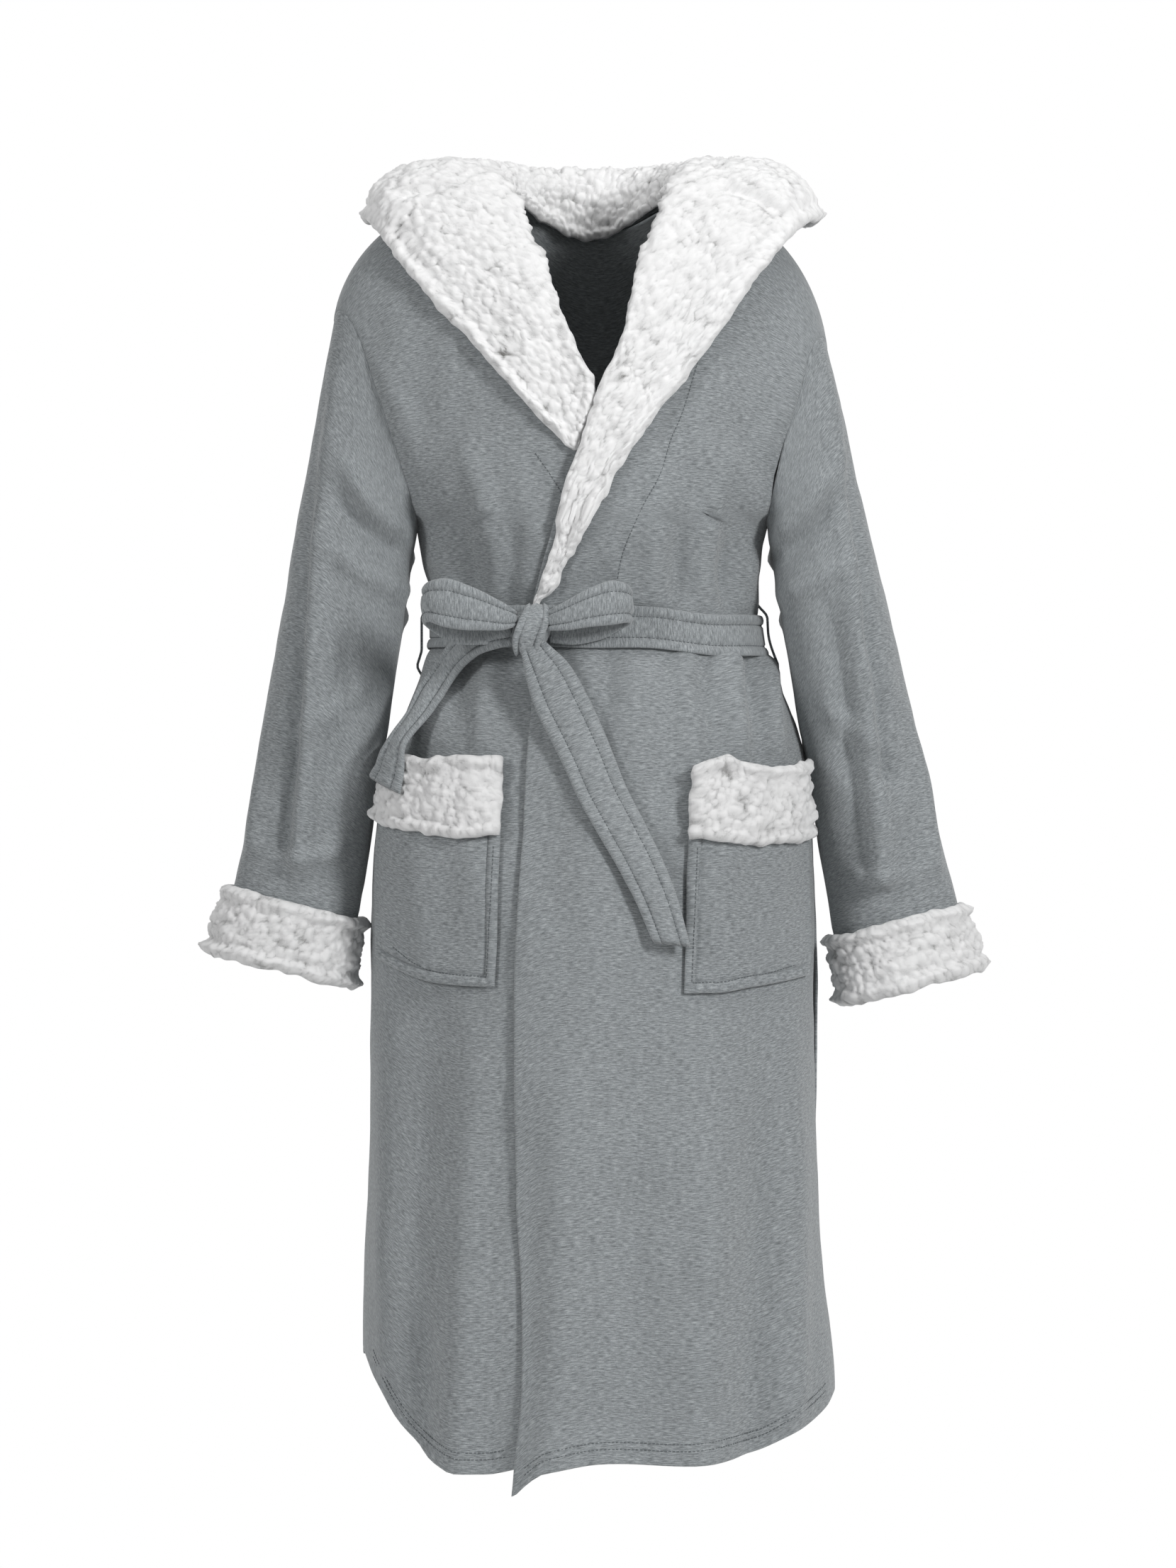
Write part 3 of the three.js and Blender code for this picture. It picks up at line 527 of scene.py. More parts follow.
# %% Fold field
# One crease: height in mm, half width in mm, then its points as X, Z.
FRONT_CREASES = [
    (3.6, 11, [(152, -392), (150, -440), (158, -500)]),
    (-2.6, 9, [(134, -392), (136, -438), (141, -482)]),
    (3.4, 9, [(118, -394), (118, -440), (124, -500), (128, -540)]),
    (-2.4, 10, [(98, -394), (98, -450), (104, -520)]),
    (2.8, 10, [(78, -394), (76, -440), (82, -500), (86, -560)]),
    (2.2, 12, [(40, -396), (36, -450), (42, -540)]),
    (-1.8, 12, [(12, -396), (6, -470), (8, -560)]),
    (3.0, 10, [(-88, -394), (-96, -440), (-100, -520)]),
    (-2.4, 9, [(-112, -392), (-118, -430), (-126, -480)]),
    (3.4, 9, [(-132, -390), (-140, -430), (-150, -480)]),
    (3.8, 12, [(128, -352), (134, -322), (150, -286)]),
    (-2.8, 9, [(112, -352), (114, -320), (128, -272)]),
    (3.4, 10, [(96, -350), (94, -318), (106, -262), (122, -216)]),
    (-2.2, 11, [(72, -350), (70, -310), (84, -250)]),
    (2.6, 11, [(50, -350), (50, -300), (62, -246)]),
    (3.2, 10, [(-122, -350), (-130, -318), (-146, -284)]),
    (-2.4, 9, [(-104, -350), (-108, -314), (-122, -268)]),
    (3.0, 11, [(-84, -350), (-84, -306), (-98, -250), (-116, -206)]),
    (2.4, 12, [(-58, -340), (-54, -290), (-66, -236)]),
    (1.6, 14, [(-150, -270), (-120, -232), (-84, -214)]),
    (-1.2, 12, [(-154, -250), (-128, -212), (-100, -190)]),
    (1.7, 14, [(148, -268), (118, -228), (80, -212)]),
    (-1.3, 12, [(156, -246), (134, -206), (112, -180)]),
    (2.4, 13, [(-196, -128), (-172, -176), (-150, -236)]),
    (2.4, 13, [(186, -146), (166, -186), (146, -236)]),
    (3.2, 26, [(-20, -560), (-24, -760), (-30, -960), (-34, -1110)]),
    (-3.0, 26, [(36, -600), (34, -800), (32, -1110)]),
    (4.2, 24, [(96, -720), (94, -880), (90, -1110)]),
    (-2.6, 20, [(138, -720), (140, -900), (138, -1090)]),
    (3.2, 18, [(172, -700), (174, -860), (172, -1060)]),
    (3.4, 22, [(-104, -720), (-108, -880), (-112, -1116)]),
    (-3.2, 20, [(-146, -700), (-152, -900), (-152, -1080)]),
    (3.0, 16, [(-182, -560), (-184, -820), (-180, -1020)]),
]
BACK_CREASES = [
    (3.2, 12, [(120, -392), (122, -450), (130, -520)]),
    (-2.6, 10, [(92, -392), (92, -460), (98, -530)]),
    (3.2, 11, [(60, -392), (58, -460), (64, -560)]),
    (2.8, 11, [(-8, -392), (-10, -460), (-8, -560)]),
    (-2.6, 12, [(-40, -392), (-44, -470), (-48, -560)]),
    (3.4, 11, [(-76, -392), (-80, -450), (-88, -540)]),
    (3.0, 10, [(-116, -392), (-122, -450), (-132, -510)]),
    (3.0, 12, [(110, -352), (114, -310), (126, -262)]),
    (3.2, 12, [(62, -352), (60, -300), (70, -240)]),
    (-2.4, 12, [(28, -352), (26, -300), (28, -250)]),
    (3.0, 12, [(-20, -352), (-22, -290), (-22, -230)]),
    (3.2, 12, [(-96, -352), (-98, -300), (-112, -240)]),
    (4.0, 30, [(0, -600), (2, -800), (0, -1100)]),
    (-3.2, 26, [(58, -620), (62, -860), (64, -1100)]),
    (4.2, 28, [(118, -640), (122, -860), (124, -1080)]),
    (-3.4, 26, [(-60, -620), (-64, -860), (-66, -1100)]),
    (4.2, 28, [(-124, -640), (-128, -860), (-130, -1070)]),
]

def crease_lift(creases, x, z):
    """Sum of the creases at points (x, z)."""
    lift = np.zeros(np.shape(x))
    for height, half, points in creases:
        p = np.array(points, float)
        best = np.full(np.shape(x), 1e9)
        along = np.zeros(np.shape(x))
        lengths = np.linalg.norm(np.diff(p, axis=0), axis=1)
        total, done = lengths.sum(), 0.0
        for a, b, length in zip(p[:-1], p[1:], lengths):
            d = b - a
            raw = ((x - a[0]) * d[0] + (z - a[1]) * d[1]) / length ** 2
            t = np.clip(raw, 0, 1)
            gap = (x - a[0] - t * d[0]) ** 2 + (z - a[1] - t * d[1]) ** 2
            along = np.where(gap < best, (done + t * length) / total, along)
            best = np.minimum(best, gap)
            done += length
        fade = smooth(along, 0, 0.08) * 0.5 + 0.5
        fade = fade * (1 - 0.75 * smooth(along, 0.45, 1))
        if total > 300:
            fade = 0.25 + 0.75 * smooth(along, 0, 0.7)
        tall = 3.3 if total > 300 else 2.8  # long creases stand higher
        lift = lift + tall * height * fade * np.exp(-best / (0.6 * half * half))
    return lift

def fold_lift(points, front):
    """Height of the folds over the smooth body, in mm."""
    x, z = points[..., 0], points[..., 2]
    lift = crease_lift(FRONT_CREASES if front else BACK_CREASES, x, z)
    side = 17 if front else 23
    tall = np.stack([x, np.zeros_like(x), z * 0.22], -1)
    lift = lift + 5.6 * wobble(tall, 52, side) + 3.0 * wobble(tall, 25, side + 1)
    flat = np.stack([x, np.zeros_like(x), z], -1)
    lift = lift + 2.6 * wobble(flat, 46, side + 2) + 0.8 * wobble(flat, 19, side + 3)
    gathered = np.exp(-((z - WAIST) / 62) ** 2)
    pleats = np.stack([x, np.zeros_like(x), z * 0.3], -1)
    lift = lift + 5.6 * gathered * wobble(pleats, 13, side + 4)
    at_seam = smooth(np.abs(x), 212, 150) * 0.85 + 0.15
    near_belt = 1 - 0.9 * np.exp(-((z - WAIST) / 25) ** 2)
    shoulder = 1 - 0.7 * smooth(z, -120, -30)
    at_arm = 1 - 0.65 * np.exp(-((np.abs(x) - 150) / 34) ** 2 - ((z - UNDERARM) / 40) ** 2)
    at_ridge = 1 - (1 - smooth(np.abs(points[..., 1] - SIDE_Y), 0, 18)) * smooth(z, -240, -200)
    return lift * at_seam * near_belt * shoulder * at_arm * at_ridge

# %% [markdown]
# ## Which layer lies where
# The wearer's left front wraps over the right one, so it stands off the body wherever the other
# lies under it. The opening edges below come from a few stations of height and X. The under
# front's edge is hidden; the top front's edge drifts outwards to the corner of the hem.

# %% Layers
FABRIC = 2.6
WRAP = 5.5
TOP_EDGE = ([-1140, -1085, -1010, -960, -860, -775, -700, -620, -520, -470, -430, -372, -330,
             -300, -275],
            [-74, -68, -61, -61, -65, -67, -68, -66, -60, -57, -54, -55, -49, -41, -34])
UNDER_EDGE = ([-1140, -900, -700, -500, -372, -275], [108, 106, 103, 98, 92, 62])

# X of each opening edge above the underarm, over the share of the way to the shoulder.
NECK_EDGE = {"under": ([0, 0.2, 0.41, 0.52, 0.65, 0.8, 0.95, 1],
                       [62, 20, -4, -22, -39, -57, -70, -78]),
             "top": ([0, 0.1, 0.19, 0.44, 0.575, 0.72, 0.825, 0.918, 1],
                     [-34, -21, -11, 14, 31, 45, 57, 65, 76])}

def opening(panel, z):
    return curve(*(TOP_EDGE if panel == "top" else UNDER_EDGE), z)

def wrap_lift(x, z):
    above = mix(62, -75, (z - UNDERARM) / (12 - UNDERARM))
    edge = np.where(z > UNDERARM, above, opening("under", z))
    return WRAP * (1 - smooth(x, edge + 6, edge + 46))

def under_lift(points, panel):
    """How far the inside of a panel is off the smooth body: the folds and the wrapped layer."""
    lift = fold_lift(points, panel != "back")
    if panel == "top":
        lift = lift + wrap_lift(points[..., 0], points[..., 2])
    return lift

# %% [markdown]
# ## The three body panels
# Two fronts and a back are sewn at the sides and shoulders. Each is a grid: its columns run from
# the side seam to the opening edge, and its rows climb from the hem over the chest to the
# shoulder. At the side and shoulder seams the front and the back reach a little past each
# other, so that each seam is shut.

# %% Body panels
NECK_DEPTH = 60
RIDGE = {"front": 0.35, "back": 0.06}

def levels(spacing, panel="front"):
    """Rows of a panel from hem to shoulder, closer at both ends."""
    low = stations(830, spacing, 4)[:-3]
    high = stations(235, spacing * 0.8, 4)[3:]
    rows = np.concatenate([low, 1 + high])
    return np.where(rows > 1, 1 + (rows - 1) * (1 - RIDGE[panel] / 90), rows)

def front_points(panel, side, u, rows):
    """Points of a front: u from the side seam to the opening edge, rows are levels."""
    u, level = np.meshgrid(u, rows)
    z = mix(-1104, UNDERARM, np.clip(level, 0, 1))
    at_opening = opening(panel, z)
    open_low = at_opening / np.where(at_opening < 0, half_width(z, -1), half_width(z, 1))
    seam = side * math.radians(89.7)
    s = np.sin(mix(seam, np.arcsin(np.clip(open_low, -1, 1)), u))
    share = np.sin(np.radians(90) * np.clip(level - 1, 0, 1))
    reach = half_width(UNDERARM, -1) + SPREAD * share ** 0.6
    hole = np.arcsin(np.clip(armhole_x(share, side) / reach, -1, 1))
    edge = np.arcsin(curve(*NECK_EDGE[panel], share) / reach)
    hole = side * np.minimum(np.abs(hole), math.radians(89.7))
    x = np.where(level <= 1, s, reach * np.sin(mix(hole, edge, u)))
    return body(panel, x, level)

def back_points(u, rows):
    u, level = np.meshgrid(u, rows)
    across = 2 * u - 1
    share = np.sin(np.radians(90) * np.clip(level - 1, 0, 1))
    reach = half_width(UNDERARM, -1) + SPREAD * share ** 0.6
    hole = np.where(across < 0, np.abs(armhole_x(share, -1)), np.abs(armhole_x(share, 1)))
    hole = np.minimum(np.arcsin(np.clip(hole / reach, -1, 1)), math.radians(89.7))
    x = reach * np.sin(across * hole)
    neck = np.clip(1 - (x / np.where(across < 0, 75, 70)) ** 2, 0, 1)
    top = np.degrees(np.arccos(np.clip(NECK_DEPTH / 108 * np.sqrt(neck), 0, 1) ** (1 / 0.65))) / 90
    high = 1 + (level - 1) * np.minimum(1, top)
    return body("back", np.where(level <= 1, np.sin(across * math.radians(89.7)), x),
                np.where(level <= 1, level, high))

def cloth_uv(points):
    """UV in metres: distance along each row, and along the middle column."""
    step = np.linalg.norm(np.diff(points, axis=1), axis=-1)
    u = np.concatenate([np.zeros((len(points), 1)), np.cumsum(step, axis=1)], axis=1)
    u = u - u[:, [u.shape[1] // 2]]
    rise = np.linalg.norm(np.diff(points, axis=0), axis=-1).mean(1)
    v = np.concatenate([[0], np.cumsum(rise)])
    return np.stack([u, np.broadcast_to(v[:, None], u.shape)], -1) * MM

def edge_shape(points, rim, ends=(True, True, True, True)):
    """Thickness share over a grid; ends says which edges are rounded: left, right, bottom, top."""
    step_u = np.linalg.norm(np.diff(points, axis=1), axis=-1)
    from_left = np.concatenate([np.zeros((len(points), 1)), np.cumsum(step_u, axis=1)], axis=1)
    step_v = np.linalg.norm(np.diff(points, axis=0), axis=-1)
    from_low = np.concatenate([np.zeros((1, points.shape[1])), np.cumsum(step_v, axis=0)], axis=0)
    far = 1e3
    d = np.full(points.shape[:2], far)
    for used, distance in zip(ends, [from_left, from_left[:, [-1]] - from_left,
                                     from_low, from_low[[-1]] - from_low]):
        reach = rim if used else 0.4
        d = np.minimum(d, np.clip(distance / reach, 0, 1))
    return np.sqrt(np.clip(1 - (1 - d) ** 2, 0, 1))

def body_panel(name, panel, points, material=KNIT, rim=2.4):
    smooth_normal = normals(points, outward_of(points))
    mid = points + smooth_normal * under_lift(points, panel)[..., None]
    seam = 1 - smooth(np.abs(mid[..., 1] - SIDE_Y), 1, 8)
    mid[..., 1] += (1.8 if panel != "back" else -1.8) * seam
    normal = normals(mid, outward_of(mid))
    edge = edge_shape(mid, rim)
    outer, inner = layer_of(mid, normal, 0.0, FABRIC, edge)
    return piece(name, outer, inner, cloth_uv(points), material), mid, normal

STEP = 6.0
width_shares = stations(300, STEP, 4)
front_under, _, _ = body_panel("front_under", "under",
                               front_points("under", -1, width_shares, levels(STEP)))
front_top, _, _ = body_panel("front_top", "top",
                             front_points("top", 1, width_shares, levels(STEP)))
back_shares = stations(420, STEP, 4)
back, _, _ = body_panel("back", "back", back_points(back_shares, levels(STEP, "back")))
for made, cad in ((front_under, "right_front_panel"), (front_top, "left_front_panel"),
                  (back, "back_panel")):
    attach(made, "robe")
    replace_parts(made, cad)

# %% [markdown]
# ## The hood's shape
# The hood is worn down. Its cloth stands up a little round the back of the neck, rolls over, and
# drops behind the shoulders as an open bag whose rim lies across the upper back. Two profiles
# describe it: one straight behind, and one over each shoulder, where it is only a wide flat
# collar. Between them the profile turns smoothly round the neck's axis.

# %% Hood surface
AXIS_X = -4
BEHIND = [(62, -22), (63, 10), (73, 33), (94, 22), (108, -44), (118, -112), (131, -180), (153, -203),
          (170, -166), (181, -86), (188, -4)]
BESIDE = [(77, 12), (83, 30), (96, 37), (111, 38), (126, 38), (141, 37), (153, 35), (165, 31),
          (176, 24), (186, 11), (191, -10)]

def hood_point(turn, v):
    """Middle surface of the hood; turn is the angle round the neck from straight behind."""
    share = np.linspace(0, 1, len(BEHIND))
    behind = np.cos(turn) ** 3
    r0, z0 = (curve(share, [p[k] for p in BEHIND], v) for k in (0, 1))
    r1, z1 = (curve(share, [p[k] for p in BESIDE], v) for k in (0, 1))
    r, z = mix(r1, r0, behind), mix(z1, z0, behind)
    r = r * np.where(turn > 0, 1 + 0.03 * v * np.sin(turn), 1)
    x = AXIS_X + r * np.sin(turn)
    y = SIDE_Y + r * np.cos(turn)
    calm = np.cos(turn) ** 2 * np.sin(np.pi * np.clip(v, 0, 1)) ** 0.5
    p = np.stack([x, y, z], -1)
    swell = 4.5 * wobble(p, 58, 61) + 2.0 * wobble(p, 27, 62)
    r = r + swell * calm
    return np.stack([AXIS_X + r * np.sin(turn), SIDE_Y + r * np.cos(turn),
                     z + 0.5 * swell * calm], -1)

def hood_grid(turns, vs, distance):
    """Points at that distance above the hood's surface, towards its lining."""
    turn, v = np.broadcast_arrays(turns[None], vs if np.ndim(vs) == 2 else vs[:, None])
    p = hood_point(turn, v)
    e = 1e-3
    du = hood_point(turn + e, v) - hood_point(turn - e, v)
    dv = hood_point(turn, np.clip(v + e, 0, 1)) - hood_point(turn, np.clip(v - e, 0, 1))
    n = np.cross(dv, du)
    n /= np.maximum(np.linalg.norm(n, axis=-1, keepdims=True), 1e-9)
    if n[len(vs) // 4, 0, 2] < 0:
        n = -n
    return p + n * np.asarray(distance)[..., None], n

# %% [markdown]
# ## Making sherpa
# A sherpa piece is cloth with a thick, curly outer face. Its free edges are turned under and fill
# out into a roll with a shallow groove beside it. The helper takes the middle surface, its
# normals and the thickness at every point, and raises the outer face by the tufts.

# %% Sherpa helper
PILE = 4.6

def roll(distance, radius=7.0, height=3.6):
    """Extra thickness at that distance from a rolled edge: a roll, then a groove."""
    bump = np.exp(-((distance - radius) / (0.62 * radius)) ** 2)
    groove = np.exp(-((distance - 2.15 * radius) / (0.5 * radius)) ** 2)
    return 0.85 * height * bump - 0.42 * height * groove

def sherpa(name, base, normal, thick, rim=6.0, ends=(True, True, True, True), wrapped=False,
           material=SHERPA):
    """base is the underside. thick is the thickness at every point."""
    edge = edge_shape(base, rim, (False, False, True, True) if wrapped else ends)
    if wrapped:
        edge[:, 0] = edge[:, -1] = edge[:, 1]
    lumps = np.stack([wobble(base, 8.5, 51 + k) for k in range(3)], -1) * 1.7
    lumps = lumps + np.stack([wobble(base, 27, 54 + k) for k in range(3)], -1) * 1.5
    if wrapped:
        lumps[:, -1] = lumps[:, 0]
    base = base + lumps
    half = thick[..., None] / 2
    middle = base + normal * half
    height = tufts(middle)
    full = half[..., 0] + PILE * (height - 0.45)
    outer = middle + normal * (full * edge)[..., None]
    inner = middle - normal * half * edge[..., None]
    if wrapped:
        outer[:, -1], inner[:, -1] = outer[:, 0], inner[:, 0]
    return piece(name, outer, inner, cloth_uv(base), material, curl=height)

# %% [markdown]
# ## Lapels
# The facing is turned out along both openings and ends above the belt. The right one is crossed
# by the left, so it stops along the left one's edge. Above the chest both lift off the body and
# run up onto the wide collar, so at the shoulder each row of the lapel ends on the hood's own
# profile, and sherpa goes round the neck without a step.

# %% Lapels
PILE_STEP = 1.9
RIGHT_SHARES = [0.2, 0.3, 0.38, 0.42, 0.52, 0.65, 0.8, 0.95, 1]
RIGHT_INNER = [-15, -5, 2, 1, -16, -33, -52, -68, -80]
RIGHT_OUTER = [-19, -47, -68, -78, -102, -136, -165, -186, -192]
LEFT_SHARES = [0, 0.1, 0.19, 0.44, 0.575, 0.72, 0.825, 0.918, 1]
LEFT_INNER = [-33, -25, -16, 9, 26, 40, 52, 62, 75]
LEFT_OUTER = [0, 14, 29, 79, 112, 144, 163, 178, 188]
LOW_Z = [-356, -345, -331, -306, -287, -275]
LOW_INNER = [-53, -50, -46, -38, -34, -33]
LOW_OUTER = [-49, -42, -30, -18, -8, 0]

def lapel(name, side, shares, inner_x, outer_x, low_rows):
    width = stations(105, PILE_STEP, 6)
    high = stations(300, PILE_STEP, 6)
    high = high if side < 0 else high[3:]
    start = shares[0]
    share = mix(start, 1, high)
    share = (1 - (1 - share) ** 1.35 / (1 - start) ** 0.35 if side < 0
             else np.sin(high * math.pi / 2))
    u, s = np.meshgrid(width, share)
    x = mix(curve(shares, inner_x, s), curve(shares, outer_x, s), u)
    climb = np.arcsin(np.clip(s, 0, 1)) * (1 - 0.7 / 90) / math.radians(90)
    base = body("top", x, 1 + climb)
    rise = smooth(s, 0.42, 1)
    if low_rows:
        z = np.linspace(LOW_Z[0], UNDERARM, int(80 / PILE_STEP))[:-1]
        ul, zl = np.meshgrid(width, z)
        xl = mix(curve(LOW_Z, LOW_INNER, zl), curve(LOW_Z, LOW_OUTER, zl), ul)
        base = np.concatenate([skirt(True, xl, zl), base])
        rise = np.concatenate([np.zeros_like(ul), rise])
    out = normals(base, outward_of(base))
    lift = FABRIC + 0.9 + fold_lift(base, True)
    if side > 0:
        lift = lift + wrap_lift(base[..., 0], base[..., 2])
    base = base + out * lift[..., None]
    target, _ = hood_grid(np.array([side * math.radians(89.5)]), width, 2.0)
    shift = target[:, 0] - base[-1]
    base = base + shift[None] * rise[..., None]
    normal = normals(base, outward_of(base))
    across = np.linalg.norm(np.diff(base, axis=1), axis=-1)
    from_in = np.concatenate([np.zeros((len(base), 1)), np.cumsum(across, axis=1)], axis=1)
    from_out = from_in[:, [-1]] - from_in
    total = from_in[:, [-1]]
    narrow = smooth(total, 8, 40)
    thick = mix(5.5, 8.0, smooth(total, 10, 60)) + roll(from_out, 7.0, 4.4) * narrow
    thick = thick + roll(from_in, 6.0, 2.0) * narrow
    ridge = [(-170, 14), (-146, 21), (-118, 24)] if side < 0 else [(112, 22), (144, 12), (172, -8)]
    thick = thick + crease_lift([(-3.4, 6, ridge)], base[..., 0], base[..., 2] + 6)
    made = sherpa(name, base, normal, thick, rim=6.5, ends=(True, True, True, False))
    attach(made, "robe")
    return made, base

lapel_right, right_base = lapel("lapel_right", -1, RIGHT_SHARES, RIGHT_INNER, RIGHT_OUTER, False)
lapel_left, left_base = lapel("lapel_left", 1, LEFT_SHARES, LEFT_INNER, LEFT_OUTER, True)
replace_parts(lapel_right, "right_lapel")
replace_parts(lapel_left, "left_lapel")

# %% [markdown]
# ## Hood: sherpa lining and knit shell
# The lining is the side that shows, because the hood lies open. Its columns go round the neck and
# its rows run from the neck seam over the roll, down into the bag and up to the rim. The knit
# shell lies under it, and is two halves sewn down the middle; the seam is a shallow groove.

# %% Hood
hood_step = 2.6
limit = math.radians(90.7)
turns = np.linspace(-limit, limit, int(480 / hood_step))
rows = stations(500, hood_step, 6)
lining_base, lining_normal = hood_grid(turns, rows, 2.0)
down = np.concatenate([np.zeros((1, len(turns))),
                       np.cumsum(np.linalg.norm(np.diff(lining_base, axis=0), axis=-1), axis=0)])
lining_thick = 8.0 + roll(down[[-1]] - down, 7.0, 4.4) + roll(down, 6.0, 2.0)
hood_lining = sherpa("hood_lining", lining_base, lining_normal, lining_thick, rim=6.5,
                     ends=(False, False, True, True))
shell_limit = math.radians(83)
shell_turns = np.linspace(-shell_limit, shell_limit, int(480 / (5.0)))
shell_rows = stations(500, 5.0, 4) * 0.985
shell_v = np.outer(shell_rows, 1 - 0.15 * np.abs(np.sin(shell_turns)) ** 4)
shell_mid, shell_normal = hood_grid(shell_turns, shell_v, 0.0)
seam = np.exp(-((shell_mid[..., 0] - AXIS_X) / 2.2) ** 2)
shell_mid = shell_mid + shell_normal * (0.2 + 1.3 * seam)[..., None]
shell_edge = edge_shape(shell_mid, 2.4)
shell_inside = shell_mid - shell_normal * (FABRIC * shell_edge)[..., None]
hood_shell = piece("hood_shell", shell_mid, shell_inside,
                   cloth_uv(shell_mid), KNIT)
for made, kind, layer in ((hood_lining, "sherpa", "lining"), (hood_shell, "knit", "shell")):
    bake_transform(made)
    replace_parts(made, *[f"{part}_{side}_{layer}" for part in ("hood", "collar")
                        for side in ("right", "left")])

# %% [markdown]
# ## Sleeves
# A sleeve is a tube sewn into the slanted armhole. Its first row is the armhole itself, and its
# last lies inside the cuff. The arm's weight pulls long creases down the front, and short folds
# fan out from the underarm.

# %% Sleeves
TILT = math.radians(14)
CUFF_HEIGHT = 64
WRISTS = {-1: (265, -612), 1: (268, -628)}
SLEEVE_CREASES = {
    -1: [(4.6, 11, [(-226, -150), (-236, -220), (-244, -330), (-252, -460), (-262, -590)]),
         (-3.4, 9, [(-238, -170), (-248, -280), (-258, -420), (-272, -560)]),
         (3.6, 12, [(-168, -286), (-196, -262), (-224, -216)]),
         (-2.6, 10, [(-172, -304), (-204, -284), (-236, -240)]),
         (3.2, 12, [(-172, -336), (-204, -322), (-240, -292)]),
         (3.0, 11, [(-286, -250), (-292, -340), (-300, -440), (-304, -560)]),
         (-2.4, 9, [(-216, -360), (-226, -450), (-240, -580)]),
         (2.4, 10, [(-206, -420), (-232, -448), (-262, -460)]),
         (2.6, 9, [(-226, -566), (-252, -574), (-282, -570)])],
    1: [(4.6, 11, [(202, -150), (212, -200), (218, -260), (226, -330), (240, -440), (256, -590)]),
        (-3.4, 9, [(216, -150), (226, -250), (238, -360), (254, -500)]),
        (3.6, 12, [(162, -286), (188, -262), (214, -220)]),
        (-2.6, 10, [(166, -306), (196, -284), (226, -244)]),
        (3.2, 12, [(172, -340), (200, -326), (238, -300)]),
        (3.0, 11, [(268, -220), (280, -330), (292, -450), (300, -580)]),
        (-2.4, 9, [(206, -350), (222, -450), (240, -590)]),
        (2.4, 10, [(206, -440), (232, -466), (262, -476)]),
        (2.6, 9, [(230, -586), (256, -592), (286, -588)])],
}

def armhole(side, turn):
    """The armhole as a loop: turn 0 at the underarm, 0.5 at the shoulder tip, front first."""
    front = turn <= 0.5
    rise = np.where(front, turn * 2, 2 - turn * 2)
    climb = 90 * rise ** 1.25
    x = armhole_x(np.sin(np.radians(climb)), side)
    level = 1.0001 + np.minimum(climb, 89.99) / 90
    return np.where(front[..., None], body("top", x, level), body("back", x, level))

def wrist(side, turn, drop, grow):
    """The wrist end as a loop with the same start; drop is measured down along the sleeve."""
    sleeve_x, sleeve_z = WRISTS[side]
    inward = -side * (57 + grow) * np.cos(2 * np.pi * turn)
    forward = -(46 + grow) * np.sin(2 * np.pi * turn)
    centre_x = side * sleeve_x + math.sin(TILT * side) * drop
    centre_z = sleeve_z - math.cos(TILT) * drop
    return np.stack([centre_x + inward * math.cos(TILT), SIDE_Y + forward + 0 * centre_x,
                     centre_z + inward * math.sin(TILT * side)], -1)

def sleeve(name, side):
    step = 5.0
    turn = np.linspace(0, 1, int(330 / step) + 1)
    down = np.concatenate([[0, 0.003, 0.008], np.linspace(0.016, 1, int(510 / step))])
    t, d = np.meshgrid(turn, down)
    top = armhole(side, t)
    top[..., 0] += side * 0.6
    top[..., 1] += np.where(top[..., 1] < SIDE_Y, -1, 1) * 0.8
    low = wrist(side, t, -6.0, -1.5)
    mid = mix(top, low, d[..., None])
    full = np.sin(np.pi * d) * 10 * np.abs(np.sin(2 * np.pi * t))
    mid[..., 1] += np.where(mid[..., 1] < SIDE_Y, -1, 1) * full
    hidden = mid[:1] + (mid[:1] - mid[3:4]) * 0.9
    hidden[..., 1] += np.where(hidden[..., 1] < SIDE_Y, 4.5, -4.5)
    hidden[..., 2] -= 3.0
    mid = np.concatenate([hidden, mid])
    tucked = np.linspace(0.04, 1, 9)
    t2, d2 = np.meshgrid(turn, tucked)
    mid = np.concatenate([mid, wrist(side, t2, mix(-6.0, 52.0, d2), -1.5)])
    axis = mid.mean(axis=1, keepdims=True)
    out = normals(mid, mid - axis, wrapped=True)
    front = mid[..., 1] < SIDE_Y
    flip = np.where(front, 1, -1)
    creases = SLEEVE_CREASES[side]
    lift = np.where(front, crease_lift(creases, mid[..., 0], mid[..., 2]),
                    crease_lift(creases[2:], mid[..., 0] + side * 6, mid[..., 2] + 26))
    lift = lift * smooth(np.abs(mid[..., 1] - SIDE_Y), 4, 36) * np.where(front, 1, 0.6)
    tall = mid * np.array([1, 1, 0.3])
    calm = 0.45 + 0.55 * smooth(np.abs(mid[..., 1] - SIDE_Y), 8, 40)
    lift = lift + (3.8 * wobble(tall, 44, 31 + side) + 2.4 * wobble(mid, 38, 35 + side)
                   + 1.0 * wobble(mid, 17, 39 + side)) * calm
    everywhere = np.concatenate([[0], d[:, 0], np.ones(len(tucked))])[:, None]
    lift = lift * smooth(everywhere, 0.01, 0.12) * (1 - smooth(everywhere, 0.93, 1.0))
    mid = mid + out * lift[..., None]
    mid[:, -1] = mid[:, 0]
    out = normals(mid, mid - axis, wrapped=True)
    out[:, -1] = out[:, 0]
    edge = edge_shape(mid, 2.4, (False, False, True, True))
    edge[:, 0] = edge[:, -1] = edge[:, 1]
    outer, inner = layer_of(mid, out, -FABRIC / 2, FABRIC, edge)
    made = piece(name, outer, inner, cloth_uv(mid), KNIT)
    return made

sleeve_right = sleeve("sleeve_right", -1)
sleeve_left = sleeve("sleeve_left", 1)
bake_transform(sleeve_right)
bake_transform(sleeve_left)
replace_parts(sleeve_right, "right_sleeve")
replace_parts(sleeve_left, "left_sleeve")

